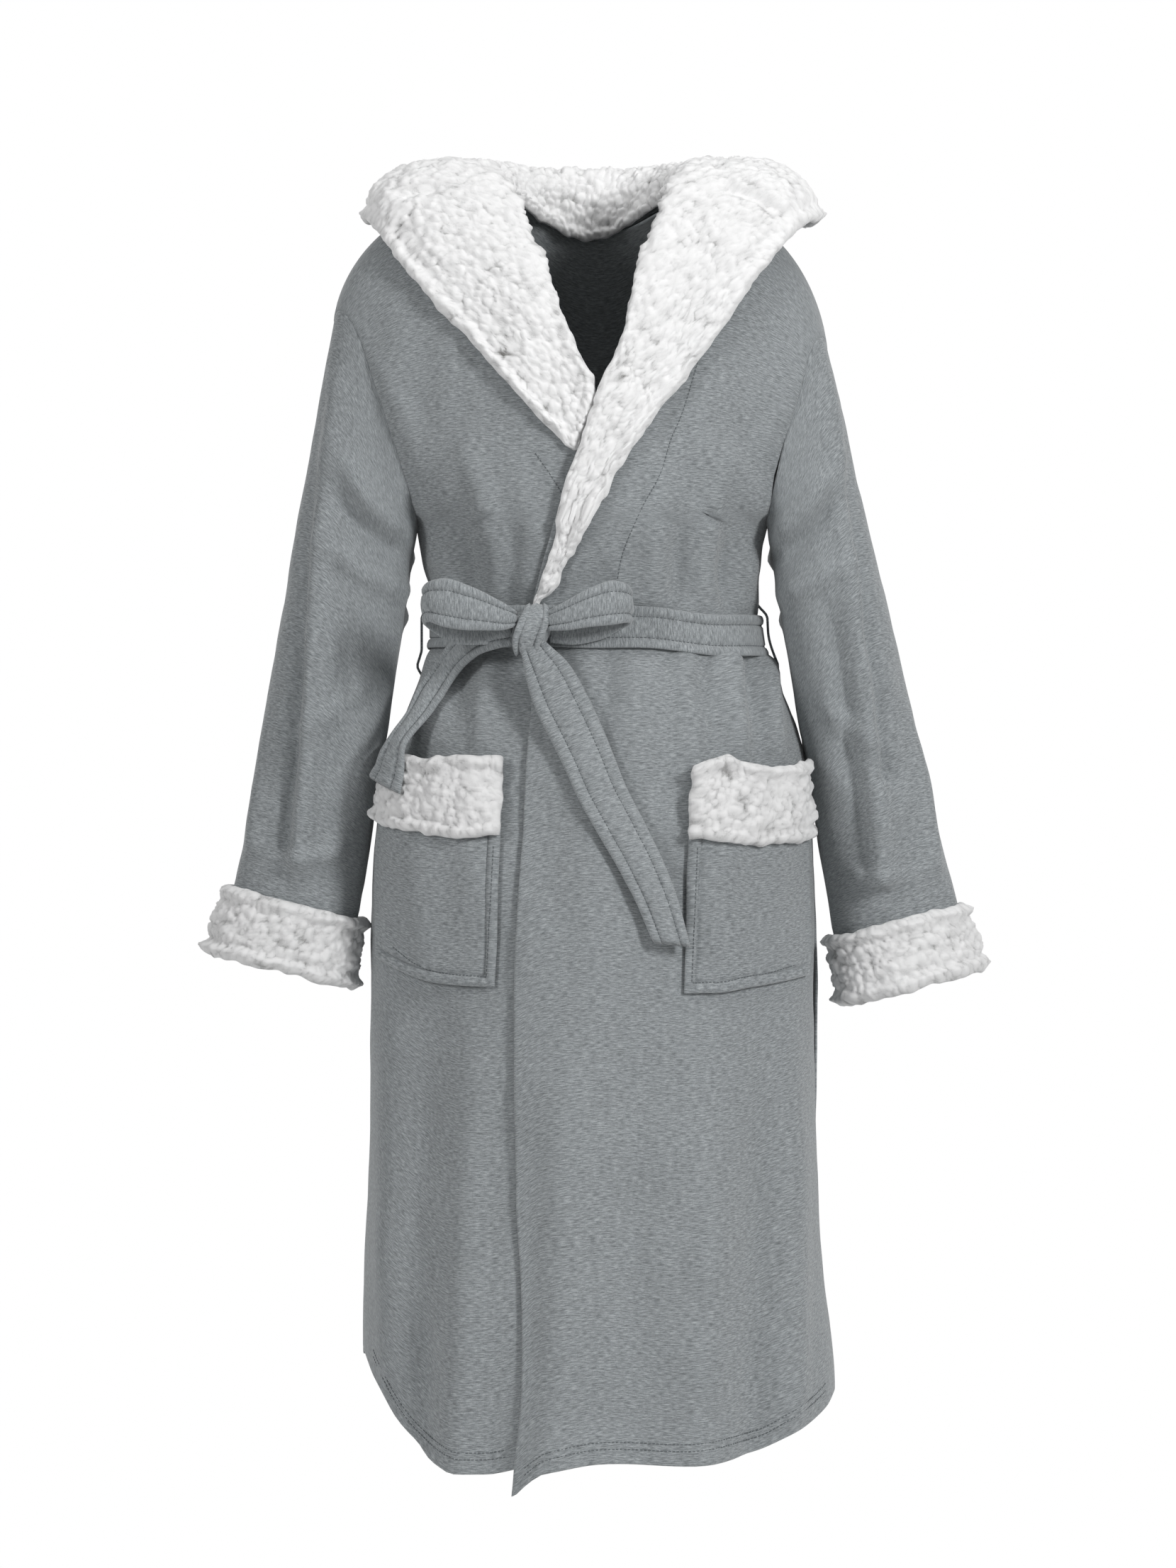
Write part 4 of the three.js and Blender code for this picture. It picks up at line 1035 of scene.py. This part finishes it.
# %% [markdown]
# ## Cuffs
# Each cuff is a deep band of sherpa turned back over the sleeve's end. Both of its edges are
# rolled, so it bulges at top and bottom and is slack between them.

# %% Cuffs
def cuff(name, side):
    step = PILE_STEP
    turn = np.linspace(0, 1, int(350 / step) + 1)
    down = stations(CUFF_HEIGHT, step, 6)
    t, v = np.meshgrid(turn, down)
    slack = 1.6 * wobble(wrist(side, t, v * CUFF_HEIGHT, 0), 38, 71)
    base = wrist(side, t, v * CUFF_HEIGHT, 0.8 + 4.0 * v + slack * np.sin(np.pi * v))
    base[:, -1] = base[:, 0]
    out = normals(base, base - base.mean(axis=1, keepdims=True), wrapped=True)
    out[:, -1] = out[:, 0]
    from_top, from_low = v * CUFF_HEIGHT, (1 - v) * CUFF_HEIGHT
    thick = 7.6 + roll(from_top, 6.5, 4.0) + roll(from_low, 7.0, 4.6)
    made = sherpa(name, base, out, thick, rim=6.5, wrapped=True, material=SHERPA_DARKER)
    return made

cuff_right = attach(cuff("cuff_right", -1), "right_sleeve")
cuff_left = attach(cuff("cuff_left", 1), "left_sleeve")
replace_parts(cuff_right, "right_cuff")
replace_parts(cuff_left, "left_cuff")

# %% [markdown]
# ## Pockets
# A patch of knit is sewn on each front along three sides. Its mouth hangs a little open under
# the weight of a sherpa band. The patch sinks along its stitching, 9 mm in from the edge, and
# puffs out beyond it.

# %% Pockets
# For each side: X of the inner edge at top and bottom, then heights from inner to outer edge.
POCKETS = {
    -1: {"inner": (-79, -85),
         "bottom": [-685, -684, -682, -675, -660], "top": [-490, -489, -492, -490, -479],
         "band_top": [-486, -485, -488, -486, -475], "band_low": [-554, -558, -554, -550, -540]},
    1: {"inner": (81, 76),
        "bottom": [-690, -690, -686, -682, -676], "top": [-498, -491, -500, -498, -492],
        "band_top": [-494, -487, -496, -494, -488], "band_low": [-557, -561, -563, -562, -556]},
}
POCKET_SHARES = [0, 0.25, 0.5, 0.75, 1]
POCKET_OUTER = 0.955  # where a pocket's outer edge lies, as a share of the half width

def pocket_points(side, low, high, columns, rows_up):
    spec = POCKETS[side]
    u, v = np.meshgrid(columns, rows_up)
    z = mix(curve(POCKET_SHARES, spec[low], u), curve(POCKET_SHARES, spec[high], u), v)
    drop = (z + 480) / -200
    inner = mix(spec["inner"][0], spec["inner"][1], drop)
    outer = side * POCKET_OUTER * half_width(z, side)
    x = mix(inner, outer, u)
    points = skirt(True, x, z)
    gape = 12 * np.sin(np.pi * u) ** 0.8 * smooth(z, -690, -540)
    gape = gape + 1.2 * wobble(points, 40, 81) * np.sin(np.pi * u)
    lift = FABRIC + 1.9 + gape + fold_lift(points, True)
    if side > 0:
        lift = lift + wrap_lift(points[..., 0], points[..., 2])
    return points, normals(points, outward_of(points)), lift

def stitched(points, inset=9.0, sides=(True, True, True, False)):
    """Height change near stitching that runs inside the edges: puffed outside it, sunk on it."""
    step_u = np.linalg.norm(np.diff(points, axis=1), axis=-1)
    left = np.concatenate([np.zeros((len(points), 1)), np.cumsum(step_u, axis=1)], axis=1)
    step_v = np.linalg.norm(np.diff(points, axis=0), axis=-1)
    low = np.concatenate([np.zeros((1, points.shape[1])), np.cumsum(step_v, axis=0)], axis=0)
    d = np.full(points.shape[:2], 1e3)
    for used, distance in zip(sides, (left, left[:, [-1]] - left, low, low[[-1]] - low)):
        if used:
            d = np.minimum(d, distance)
    return (2.0 * np.exp(-((d - inset / 2) / (inset * 0.36)) ** 2)
            - 2.2 * np.exp(-((d - inset) / 1.7) ** 2))

pockets, bands = {}, {}
for side, name, cad in ((-1, "right", "right_pocket"), (1, "left", "left_pocket")):
    columns = stations(115, 2.2, 3)
    rows_up = stations(200, 2.4, 3)
    flat_points, out, lift = pocket_points(side, "bottom", "top", columns, rows_up)
    mid = flat_points + out * (lift + stitched(flat_points))[..., None]
    edge = edge_shape(mid, 2.4)
    outer, inner = layer_of(mid, normals(mid, outward_of(mid)), 0.0, FABRIC, edge)
    patch = piece("pocket_" + name, outer, inner, cloth_uv(mid), KNIT)
    columns = stations(115, PILE_STEP, 6)
    rows_up = stations(70, PILE_STEP, 6)
    flat_points, out, lift = pocket_points(side, "band_low", "band_top", columns, rows_up)
    base = flat_points + out * (lift + FABRIC + 0.6)[..., None]
    heights = np.concatenate([np.zeros((1, len(columns))),
                              np.cumsum(np.linalg.norm(np.diff(base, axis=0), axis=-1), axis=0)])
    thick = 7.2 + roll(heights, 6.0, 3.4) + roll(heights[[-1]] - heights, 6.5, 4.2)
    band = sherpa("pocket_band_" + name, base, normals(base, outward_of(base)), thick, rim=6.0,
                  material=SHERPA_DARKER)
    pockets[name], bands[name] = patch, band
    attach(patch, "robe")
    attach(band, "robe")
    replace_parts(patch, cad)
    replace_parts(band, cad + "_band")

# %% [markdown]
# ## The belt round the waist
# The belt is a flat tube of the same knit, 36 mm wide, stitched 9 mm in from both edges. It goes
# over the wrapped fronts and drops to a single layer at the sides. Its points are a ring round
# the waist; the stitching pulls two shallow channels into its outer face.

# %% Waistband
BELT_WIDTH = 36.5
BELT_THICK = 3.2
BELT_GROOVE = 9.0

def belt_section(across, thick=BELT_THICK):
    """Height of the belt's outer face over its width; across is the distance from its middle."""
    edge = BELT_WIDTH / 2 - np.abs(across)
    puff = 0.9 * np.exp(-((edge - 4.4) / 3.4) ** 2) + 0.7 * np.exp(-(across / 7) ** 2)
    return thick + puff - 1.7 * np.exp(-((edge - BELT_GROOVE) / 1.1) ** 2)

def across_belt():
    half = BELT_WIDTH / 2
    fine = [half - inset for inset in (0.4, 1.6, 4.4, 7.2, 8.3, 9, 9.7, 10.8)]
    side = [half] + fine + [4.0]
    return np.array([-d for d in side] + [0.0] + side[::-1])

def belt_height(x):
    return WAIST + 2 - 8 * smooth(x, 0, 150)

def waistband():
    turn = np.linspace(0, 2 * np.pi, 190)
    across = across_belt()
    t, w = np.meshgrid(turn, across)
    front = np.cos(t) > 0
    share = np.sin(t)
    x = np.where(share < 0, half_width(WAIST, -1), half_width(WAIST, 1)) * share
    sway = 1.6 * wobble(np.stack([x, np.where(front, 0, 300) + 0 * x, 0 * x], -1), 46, 91)
    z = belt_height(x) + sway + w
    width = np.where(share < 0, half_width(z, -1), half_width(z, 1))
    depth = np.where(front, depth_at(z, True), depth_at(z, False))
    covered = np.where(front, smooth(x, -108, -66) * (1 - smooth(x, 104, 150)), 0)
    out = FABRIC + 1.6 + WRAP * covered + 0.8 * wobble(np.stack([x, 40 * np.cos(t), z], -1), 30, 92)
    out = out + np.where(front, 1.6 * np.clip(crease_lift(FRONT_CREASES, x, z) * 0.25, -1, 2), 0)
    base = np.stack([(width + out) * share, SIDE_Y - (depth + out) * np.cos(t), z], -1)
    base[:, -1] = base[:, 0]
    away = np.stack([share, -np.cos(t), 0 * t], -1)
    edge = np.sqrt(np.clip(1 - (1 - np.clip((BELT_WIDTH / 2 - np.abs(w)) / 2.6, 0, 1)) ** 2, 0, 1))
    high = belt_section(w)
    mid = base + away * BELT_THICK / 2
    outer = mid + away * ((high - BELT_THICK / 2) * edge)[..., None]
    inner = mid - away * (BELT_THICK / 2 * edge)[..., None]
    outer[:, -1], inner[:, -1] = outer[:, 0], inner[:, 0]
    uv = np.stack([np.broadcast_to(turn * 0.128, t.shape), w * MM], -1)
    return piece("belt_waistband_cloth", outer, inner, uv, KNIT_BELT), outer, away

waist_belt, waist_outer, waist_away = waistband()
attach(waist_belt, "robe")
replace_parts(waist_belt, "belt_waistband")

# %% [markdown]
# ## Ribbons of belt
# Bow loops and hanging ends are the same flat tube, so one helper makes them all from a centre
# line, a direction across the ribbon and a direction out of its face.

# %% Ribbon helper
def along_line(points, count):
    """Evenly spaced points on a smooth curve through the stations."""
    p = np.array(points, float)
    share = np.concatenate([[0], np.cumsum(np.linalg.norm(np.diff(p, axis=0), axis=1))])
    fine = np.linspace(0, share[-1], 400)
    dense = np.stack([curve(share, p[:, k], fine) for k in range(p.shape[1])], -1)
    length = np.concatenate([[0], np.cumsum(np.linalg.norm(np.diff(dense, axis=0), axis=1))])
    at = np.linspace(0, length[-1], count)
    return np.stack([np.interp(at, length, dense[:, k]) for k in range(p.shape[1])], -1)

def ribbon(name, left, right, face, thick=BELT_THICK, end_stitch=False):
    """left and right are the ribbon's two edges, face the direction out of its outer side."""
    across = across_belt()
    share = (across + BELT_WIDTH / 2) / BELT_WIDTH
    base = mix(left[:, None], right[:, None], share[None, :, None])
    width = np.linalg.norm(right - left, axis=1)
    bow = 0.06 * width[:, None] * (1 - (2 * share[None] - 1) ** 2)
    base = base + face[:, None] * bow[..., None]
    out = normals(base, np.broadcast_to(face[:, None], base.shape))
    high = np.broadcast_to(belt_section(across, thick), base.shape[:2]).copy()
    middle_line = base[:, len(across) // 2]
    step = np.concatenate([[0], np.cumsum(np.linalg.norm(np.diff(middle_line, axis=0), axis=1))])
    if end_stitch:
        high = high - 1.5 * np.exp(-(((step[-1] - step) - 13) / 1.3) ** 2)[:, None]
    edge = edge_shape(base, 2.6)
    mid = base + out * thick / 2
    outer = mid + out * ((high - thick / 2) * edge)[..., None]
    inner = mid - out * (thick / 2 * edge)[..., None]
    uv = np.stack(np.broadcast_arrays(step[:, None] * MM, across[None] * MM), -1)
    return piece(name, outer, inner, uv, KNIT_BELT), outer, out

# %% [markdown]
# ## The knot, the bow and the hanging ends
# The belt is tied in a half bow over the wearer's right front. The knot is a tight lump with the
# belt drawn over it. A loop stands out on each side, and the short end comes out to the wearer's
# right and falls; the long end falls towards the wearer's left, over the pocket's edge.

# %% Knot
KNOT = Vector((-55, -190, -373))

def belt_knot():
    bm = bmesh.new()
    bmesh.ops.create_uvsphere(bm, u_segments=40, v_segments=28, radius=1)
    for v in bm.verts:
        d = v.co.normalized()
        blunt = (abs(d.x) ** 2.7 + abs(d.y) ** 2.7 + abs(d.z) ** 2.7) ** (1 / 2.7)
        q = d / blunt
        fold = 1 + 0.06 * math.sin(6.5 * q.z + 2.2 * q.x) + 0.035 * math.sin(11 * q.x - 3 * q.z)
        v.co = Vector((q.x * 16.5 * fold, q.y * 11.5 * fold, q.z * 17.5)) + KNOT
        v.co *= MM
    layer = bm.loops.layers.uv.new("UVMap")
    for face in bm.faces:
        for loop in face.loops:
            loop[layer].uv = (loop.vert.co.x + loop.vert.co.y, loop.vert.co.z)
    mesh = bpy.data.meshes.new("knot_core")
    bm.to_mesh(mesh)
    bm.free()
    mesh.shade_smooth()
    mesh.materials.append(KNIT_BELT)
    made = bpy.data.objects.new("knot_core", mesh)
    bpy.context.collection.objects.link(made)
    return made

def knot_wrap():
    """The belt's turn over the knot, drawn in at top and bottom."""
    turn = np.linspace(0, 2 * np.pi, 64)
    across = across_belt()
    t, w = np.meshgrid(turn, across)
    pull = 0.56 + 0.2 * np.cos(t) ** 2
    y = KNOT.y - 13.5 * np.cos(t) * (1 - 0.1 * (w / 18) ** 2)
    z = KNOT.z + 19.0 * np.sin(t)
    x = KNOT.x + w * pull + 5.5 * np.sin(t)
    x = x + 0.6 * np.sin(3 * t)
    base = np.stack([x, y, z], -1)
    base[:, -1] = base[:, 0]
    centre = np.array([KNOT.x, KNOT.y, KNOT.z])
    out = normals(base, base - centre, wrapped=True)
    out[:, -1] = out[:, 0]
    edge = np.sqrt(np.clip(1 - (1 - np.clip((BELT_WIDTH / 2 - np.abs(w)) / 4, 0, 1)) ** 2, 0, 1))
    crease = 0.9 * np.sin(w * 0.62 + 1.6 * np.sin(t))
    high = belt_section(w, 3.0) + crease
    outer = base + out * (high * edge)[..., None]
    inner = base - out * (0.6 * edge)[..., None]
    outer[:, -1], inner[:, -1] = outer[:, 0], inner[:, 0]
    uv = np.stack([t * 0.016, w * MM], -1)
    return piece("knot_wrap", outer, inner, uv, KNIT_BELT)

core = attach(belt_knot(), "robe")
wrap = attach(knot_wrap(), "robe")
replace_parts(core, "belt_knot")

# %% Bow loops
def bow_loop(name, front_leg, back_leg):
    """Each leg is a list of stations: X, Y, upper Z, lower Z. The legs meet at the loop's tip."""
    p = along_line(front_leg + back_leg[::-1], 46)
    left = np.stack([p[:, 0], p[:, 1], p[:, 3]], -1)
    right = np.stack([p[:, 0], p[:, 1], p[:, 2]], -1)
    travel = np.gradient(p[:, :2], axis=0)
    travel3 = np.stack([travel[:, 0], travel[:, 1], 0 * travel[:, 0]], -1)
    up = np.array([0, 0, 1.0])
    face = np.cross(travel3, up)
    face /= np.linalg.norm(face, axis=1, keepdims=True)
    if face[2, 1] > 0:
        face = -face
    return ribbon(name, left, right, face)

loop_right, *loop_right_faces = bow_loop(
    "bow_loop_right_cloth",
    [(-68, -196, -358, -370), (-84, -206, -348, -374), (-108, -210, -336, -374),
     (-130, -206, -329, -371), (-143, -198, -332, -366), (-146, -191, -336, -368)],
    [(-70, -186, -364, -380), (-92, -183, -358, -386), (-118, -182, -350, -386),
     (-138, -184, -342, -376)])
loop_left, *loop_left_faces = bow_loop(
    "bow_loop_left_cloth",
    [(-42, -196, -359, -374), (-26, -206, -350, -374), (-4, -210, -338, -371),
     (16, -207, -331, -369), (27, -199, -334, -367), (29, -192, -338, -368)],
    [(-40, -186, -364, -384), (-20, -184, -358, -386), (4, -184, -350, -382),
     (20, -185, -344, -374)])
for made, cad in ((loop_right, "bow_loop_right"), (loop_left, "bow_loop_left")):
    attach(made, "robe")
    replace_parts(made, cad)

# %% Hanging ends
SHORT_LEFT = [(-66, -358), (-82, -360), (-97, -366), (-109, -377), (-122, -393), (-132, -416),
              (-139, -440), (-149, -466), (-158, -486), (-167, -502)]
SHORT_RIGHT = [(-62, -386), (-76, -389), (-90, -394), (-103, -404), (-115, -420), (-125, -438),
               (-131, -458), (-136, -480), (-139, -498), (-142, -517)]
LONG_LEFT = [(-57, -390), (-54, -412), (-47, -440), (-34, -470), (-22, -497), (-12, -522),
             (4, -554), (20, -584), (34, -613), (46, -646)]
LONG_RIGHT = [(-44, -378), (-34, -388), (-21, -402), (-8, -426), (10, -470), (22, -505), (38, -540),
              (52, -574), (62, -606), (72, -650)]

def hanging_end(name, left, right, lift, start_y, lead):
    """An end of the belt lying on the skirt; over its first share, lead, it comes off the knot."""
    count = 60
    a, b = along_line(left, count), along_line(right, count)
    share = np.linspace(0, 1, count)
    sides = []
    for line in (a, b):
        points = skirt(True, line[:, 0], line[:, 1])
        out = points - np.array([AXIS_X, SIDE_Y, 0]) * np.array([1, 1, 0])
        out[:, 2] = 0
        out /= np.linalg.norm(out, axis=1, keepdims=True)
        raised = points + out * (FABRIC + WRAP + lift(line[:, 0], line[:, 1])
                                 + np.maximum(fold_lift(points, True), 0))[:, None]
        raised[:, 1] = mix(start_y, raised[:, 1], smooth(share, 0, lead))
        sides.append(raised)
    face = np.cross(np.gradient(sides[0], axis=0), sides[1] - sides[0])
    face /= np.linalg.norm(face, axis=1, keepdims=True)
    if face[len(face) // 2, 1] > 0:
        face = -face
    return ribbon(name, sides[0], sides[1], face, end_stitch=True)

short_end, short_outer, short_out = hanging_end(
    "belt_end_short_cloth", SHORT_LEFT, SHORT_RIGHT,
    lambda x, z: 3 + 19 * smooth(-z, 440, 482), start_y=-188, lead=0.35)
long_end, long_outer, long_out = hanging_end(
    "belt_end_long_cloth", LONG_LEFT, LONG_RIGHT,
    lambda x, z: 6 + 9 * smooth(x, 34, 72), start_y=-196, lead=0.3)
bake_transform(short_end)
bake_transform(long_end)
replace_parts(short_end, "belt_tail_short")
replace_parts(long_end, "belt_tail_long")

# %% [markdown]
# ## Belt carriers
# A narrow strap of rolled knit stands at each side seam, and the belt runs through it.

# %% Carriers
CARRIER_LOW, CARRIER_TOP = -415.0, -347.0
CARRIER_HALF_WIDTH = 3.4
CARRIER_STAND = 11.5     # how far the middle of a strap stands off the body

def carrier(name, side):
    v = np.linspace(0, 1, 26)
    z = mix(CARRIER_LOW, CARRIER_TOP, v)
    ends = np.minimum(smooth(v, 0, 0.2), 1 - smooth(v, 0.8, 1))
    wide = np.maximum(half_width(z, side), half_width(-348, side))
    x = side * (wide + mix(FABRIC + 0.2, CARRIER_STAND, ends))
    left = np.stack([x, np.full_like(x, SIDE_Y - CARRIER_HALF_WIDTH), z], -1)
    right = np.stack([x, np.full_like(x, SIDE_Y + CARRIER_HALF_WIDTH), z], -1)
    face = np.tile([side * 1.0, 0, 0], (len(v), 1))
    share = np.linspace(0, 1, 7)
    base = mix(left[:, None], right[:, None], share[None, :, None])
    out = normals(base, np.broadcast_to(face[:, None], base.shape))
    edge = edge_shape(base, 2.2)
    outer = base + out * (1.0 + 1.2 * edge)[..., None]
    inner = base + out * (1.0 - 1.0 * edge)[..., None]
    outer = mix(base + out, outer, edge[..., None])
    inner = mix(base + out, inner, edge[..., None])
    made = piece(name, outer, inner, cloth_uv(base), KNIT)
    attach(made, "robe")
    return made

carrier_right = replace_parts(carrier("carrier_right", -1), "right_belt_carrier")
carrier_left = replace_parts(carrier("carrier_left", 1), "left_belt_carrier")

# %% [markdown]
# ## Stitching
# The seams that show are rows of small thread stitches. Each stitch is a short bar, laid along
# its line and half sunk in the cloth. On the panels a line is drawn in X and height and dropped
# straight onto the finished cloth; on the belt the lines follow its two stitched channels.

# %% Stitches
def make_thread(name, level):
    material = bpy.data.materials.new(name)
    material.use_nodes = True
    tree = material.node_tree
    shader = tree.nodes["Principled BSDF"]
    place = node(tree, "ShaderNodeTexCoord")
    twist = node(tree, "ShaderNodeTexNoise", Scale=700.0, Detail=2.0)
    tree.links.new(place.outputs["Object"], twist.inputs["Vector"])
    tone = ramp(tree, twist.outputs["Fac"],
                [(0.3, grey(level - 16, 1)), (0.7, grey(level + 16, 1))])
    tree.links.new(tone.outputs["Color"], shader.inputs["Base Color"])
    bump = node(tree, "ShaderNodeBump", Strength=0.4, Distance=0.0002)
    tree.links.new(twist.outputs["Fac"], bump.inputs["Height"])
    tree.links.new(bump.outputs["Normal"], shader.inputs["Normal"])
    shader.inputs["Roughness"].default_value = 0.75
    return material

THREAD = make_thread("grey_thread", 96)
HEM_ROWS = (13, 19)      # heights of the two stitch rows above a hem
CHANNEL_ROWS = (6, 14)   # points across the belt that lie in its two stitched channels
POCKET_HALF_WIDTH = 194  # half width of the skirt at the pockets

def stitches(name, lines, pitch=3.6, length=2.5, width=0.8):
    """lines are (points, normals) pairs in mm."""
    bm = bmesh.new()
    for points, outs in lines:
        reach = np.concatenate([[0], np.cumsum(np.linalg.norm(np.diff(points, axis=0), axis=1))])
        for at in np.arange(pitch / 2, reach[-1], pitch * (1)):
            spot = Vector([np.interp(at, reach, points[:, k]) for k in range(3)])
            ahead = Vector([np.interp(at + 0.8, reach, points[:, k]) for k in range(3)])
            up = Vector([np.interp(at, reach, outs[:, k]) for k in range(3)]).normalized()
            along = ahead - spot
            if along.length < 1e-6:
                continue
            along.normalize()
            side = up.cross(along).normalized()
            up = along.cross(side)
            made = bmesh.ops.create_cube(bm, size=1)
            for v in made["verts"]:
                local = v.co.copy()
                thin = 0.8 if abs(local.z) > 0.2 and local.z > 0 else 1
                v.co = (spot + along * local.x * length * thin + side * local.y * width * thin
                        + up * (local.z * 0.7 + 0.1)) * MM
    mesh = bpy.data.meshes.new(name)
    bm.to_mesh(mesh)
    bm.free()
    mesh.materials.append(THREAD)
    made = bpy.data.objects.new(name, mesh)
    bpy.context.collection.objects.link(made)
    print(f"{name}: {len(mesh.polygons) // 6} stitches")
    return made

def dropped(target, points, back=False):
    """A line of (X, Z) points dropped along Y onto a piece."""
    tree = BVHTree.FromPolygons([v.co for v in target.data.vertices],
                                [p.vertices for p in target.data.polygons])
    p = along_line(points, max(12, int(np.abs(np.diff(np.array(points, float), axis=0)).sum() / 8)))
    spots, outs = [], []
    for x, z in p:
        start = Vector((x * MM, 1.0 if back else -1.0, z * MM))
        hit, normal, _, _ = tree.ray_cast(start, Vector((0, -1 if back else 1, 0)))
        if hit is not None:
            spots.append(np.array(hit) / MM)
            outs.append(np.array(normal))
    return np.array(spots), np.array(outs)

def hem_line(panel, low, high, up):
    """(X, Z) points a little above a hem."""
    s = np.linspace(low, high, 30)
    z = hem_z(panel, s) + up
    width = np.where(s < 0, half_width(z, -1), half_width(z, 1))
    return list(zip(s * width, z))

front_lines = [dropped(front_top, hem_line("top", -0.3, 0.97, up)) for up in HEM_ROWS]
front_lines += [dropped(front_under, hem_line("under", -0.96, -0.38, up)) for up in HEM_ROWS]
front_lines += [dropped(front_top, [(92, -134), (76, -186), (68, -204), (58, -236), (40, -270),
                                    (22, -318), (19, -340)])]
front_lines += [dropped(front_under, [(-52, -218), (-38, -238), (-27, -256)])]
back_lines = [dropped(back, hem_line("back", -0.97, 0.97, up), back=True) for up in HEM_ROWS]
front_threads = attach(stitches("front_threads", front_lines), "robe")
back_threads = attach(stitches("back_threads", back_lines), "robe")
pocket_lines = []
for patch, side in ((pockets["right"], -1), (pockets["left"], 1)):
    spec = POCKETS[side]
    inner, outer = spec["inner"], side * POCKET_OUTER * POCKET_HALF_WIDTH
    low = [z + 9 for z in spec["bottom"]]
    xs = [mix(inner[1] + side * 9, outer - side * 8, t) for t in POCKET_SHARES]
    pocket_lines.append(dropped(patch, list(zip(xs, low))))
    upright = [(mix(inner[1], inner[0], t) + side * 9, mix(low[0], -562, t)) for t in (0, 0.5, 1)]
    pocket_lines.append(dropped(patch, upright))
pocket_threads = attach(stitches("pocket_threads", pocket_lines), "robe")
belt_lines = [(waist_outer[row], waist_away[row]) for row in CHANNEL_ROWS]
for outer_face, outs in (loop_right_faces, loop_left_faces):
    belt_lines += [(outer_face[:, k], outs[:, k]) for k in CHANNEL_ROWS]
belt_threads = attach(stitches("belt_threads", belt_lines), "robe")
short_threads = stitches("belt_end_short_threads",
                         [(short_outer[:, k], short_out[:, k]) for k in CHANNEL_ROWS])
long_threads = stitches("belt_end_long_threads",
                        [(long_outer[:, k], long_out[:, k]) for k in CHANNEL_ROWS])
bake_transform(short_threads)
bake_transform(long_threads)

# %% [markdown]
# ## A flat size for each sheet of cloth
# Each sheet below is given an estimated flat size, in metres. The sizes were picked to come near
# the areas that the finished pieces turned out to have, so a printed ratio near one only says
# that a size fits its piece. It does not show how far real cloth would stretch.

# %% Cloth sizes
SHEETS = [
    (front_top, "hung", (0.37, 1.15), 0.33, ["back"], [front_threads]),
    (front_under, "hung", (0.41, 1.13), 0.36, ["back"], []),
    (back, "hung", (0.49, 1.13), 0.51, [], [back_threads]),
    (sleeve_right, "hung", (0.37, 0.56), 0.18, ["back"], []),
    (sleeve_left, "hung", (0.37, 0.56), 0.18, ["back"], []),
    (cuff_right, "folded", (0.37, 0.068), None, ["sleeve_right"], []),
    (cuff_left, "folded", (0.37, 0.068), None, ["sleeve_left"], []),
    (lapel_right, "folded", (0.125, 0.30), 0.032, ["front_under"], []),
    (lapel_left, "folded", (0.12, 0.42), 0.037, ["front_top"], []),
    (hood_shell, "draped", (0.46, 0.30), 0.125, ["back"], []),
    (hood_lining, "draped", (0.46, 0.30), 0.125, ["hood_shell"], []),
    (pockets["right"], "hung", (0.145, 0.205), None, ["front_under"], [pocket_threads]),
    (pockets["left"], "hung", (0.145, 0.205), None, ["front_top"], []),
    (bands["right"], "folded", (0.15, 0.075), None, ["pocket_right"], []),
    (bands["left"], "folded", (0.15, 0.075), None, ["pocket_left"], []),
    (waist_belt, "stretched", (0.0365, 0.87), None, ["front_top", "back"], [belt_threads]),
    (wrap, "folded", (0.0365, 0.10), None, ["knot_core"], []),
    (loop_right, "folded", (0.0365, 0.17), None, ["knot_core"], []),
    (loop_left, "folded", (0.0365, 0.16), None, ["knot_core"], []),
    (short_end, "hung", (0.0365, 0.21), None, ["knot_core"], [short_threads]),
    (long_end, "hung", (0.0365, 0.34), None, ["knot_core"], [long_threads]),
    (carrier_right, "hung", (0.011, 0.075), 0.0006, ["back"], []),
    (carrier_left, "hung", (0.011, 0.075), 0.0006, ["back"], []),
]
for made, held, flat, area, on, extras in SHEETS:
    shown = sum(p.area for p in made.data.polygons) / 2
    cut = area or flat[0] * flat[1]
    print(f"{made.name}: cut {cut:.4f} m2, made {shown:.4f} m2, ratio {shown / cut:.2f}")
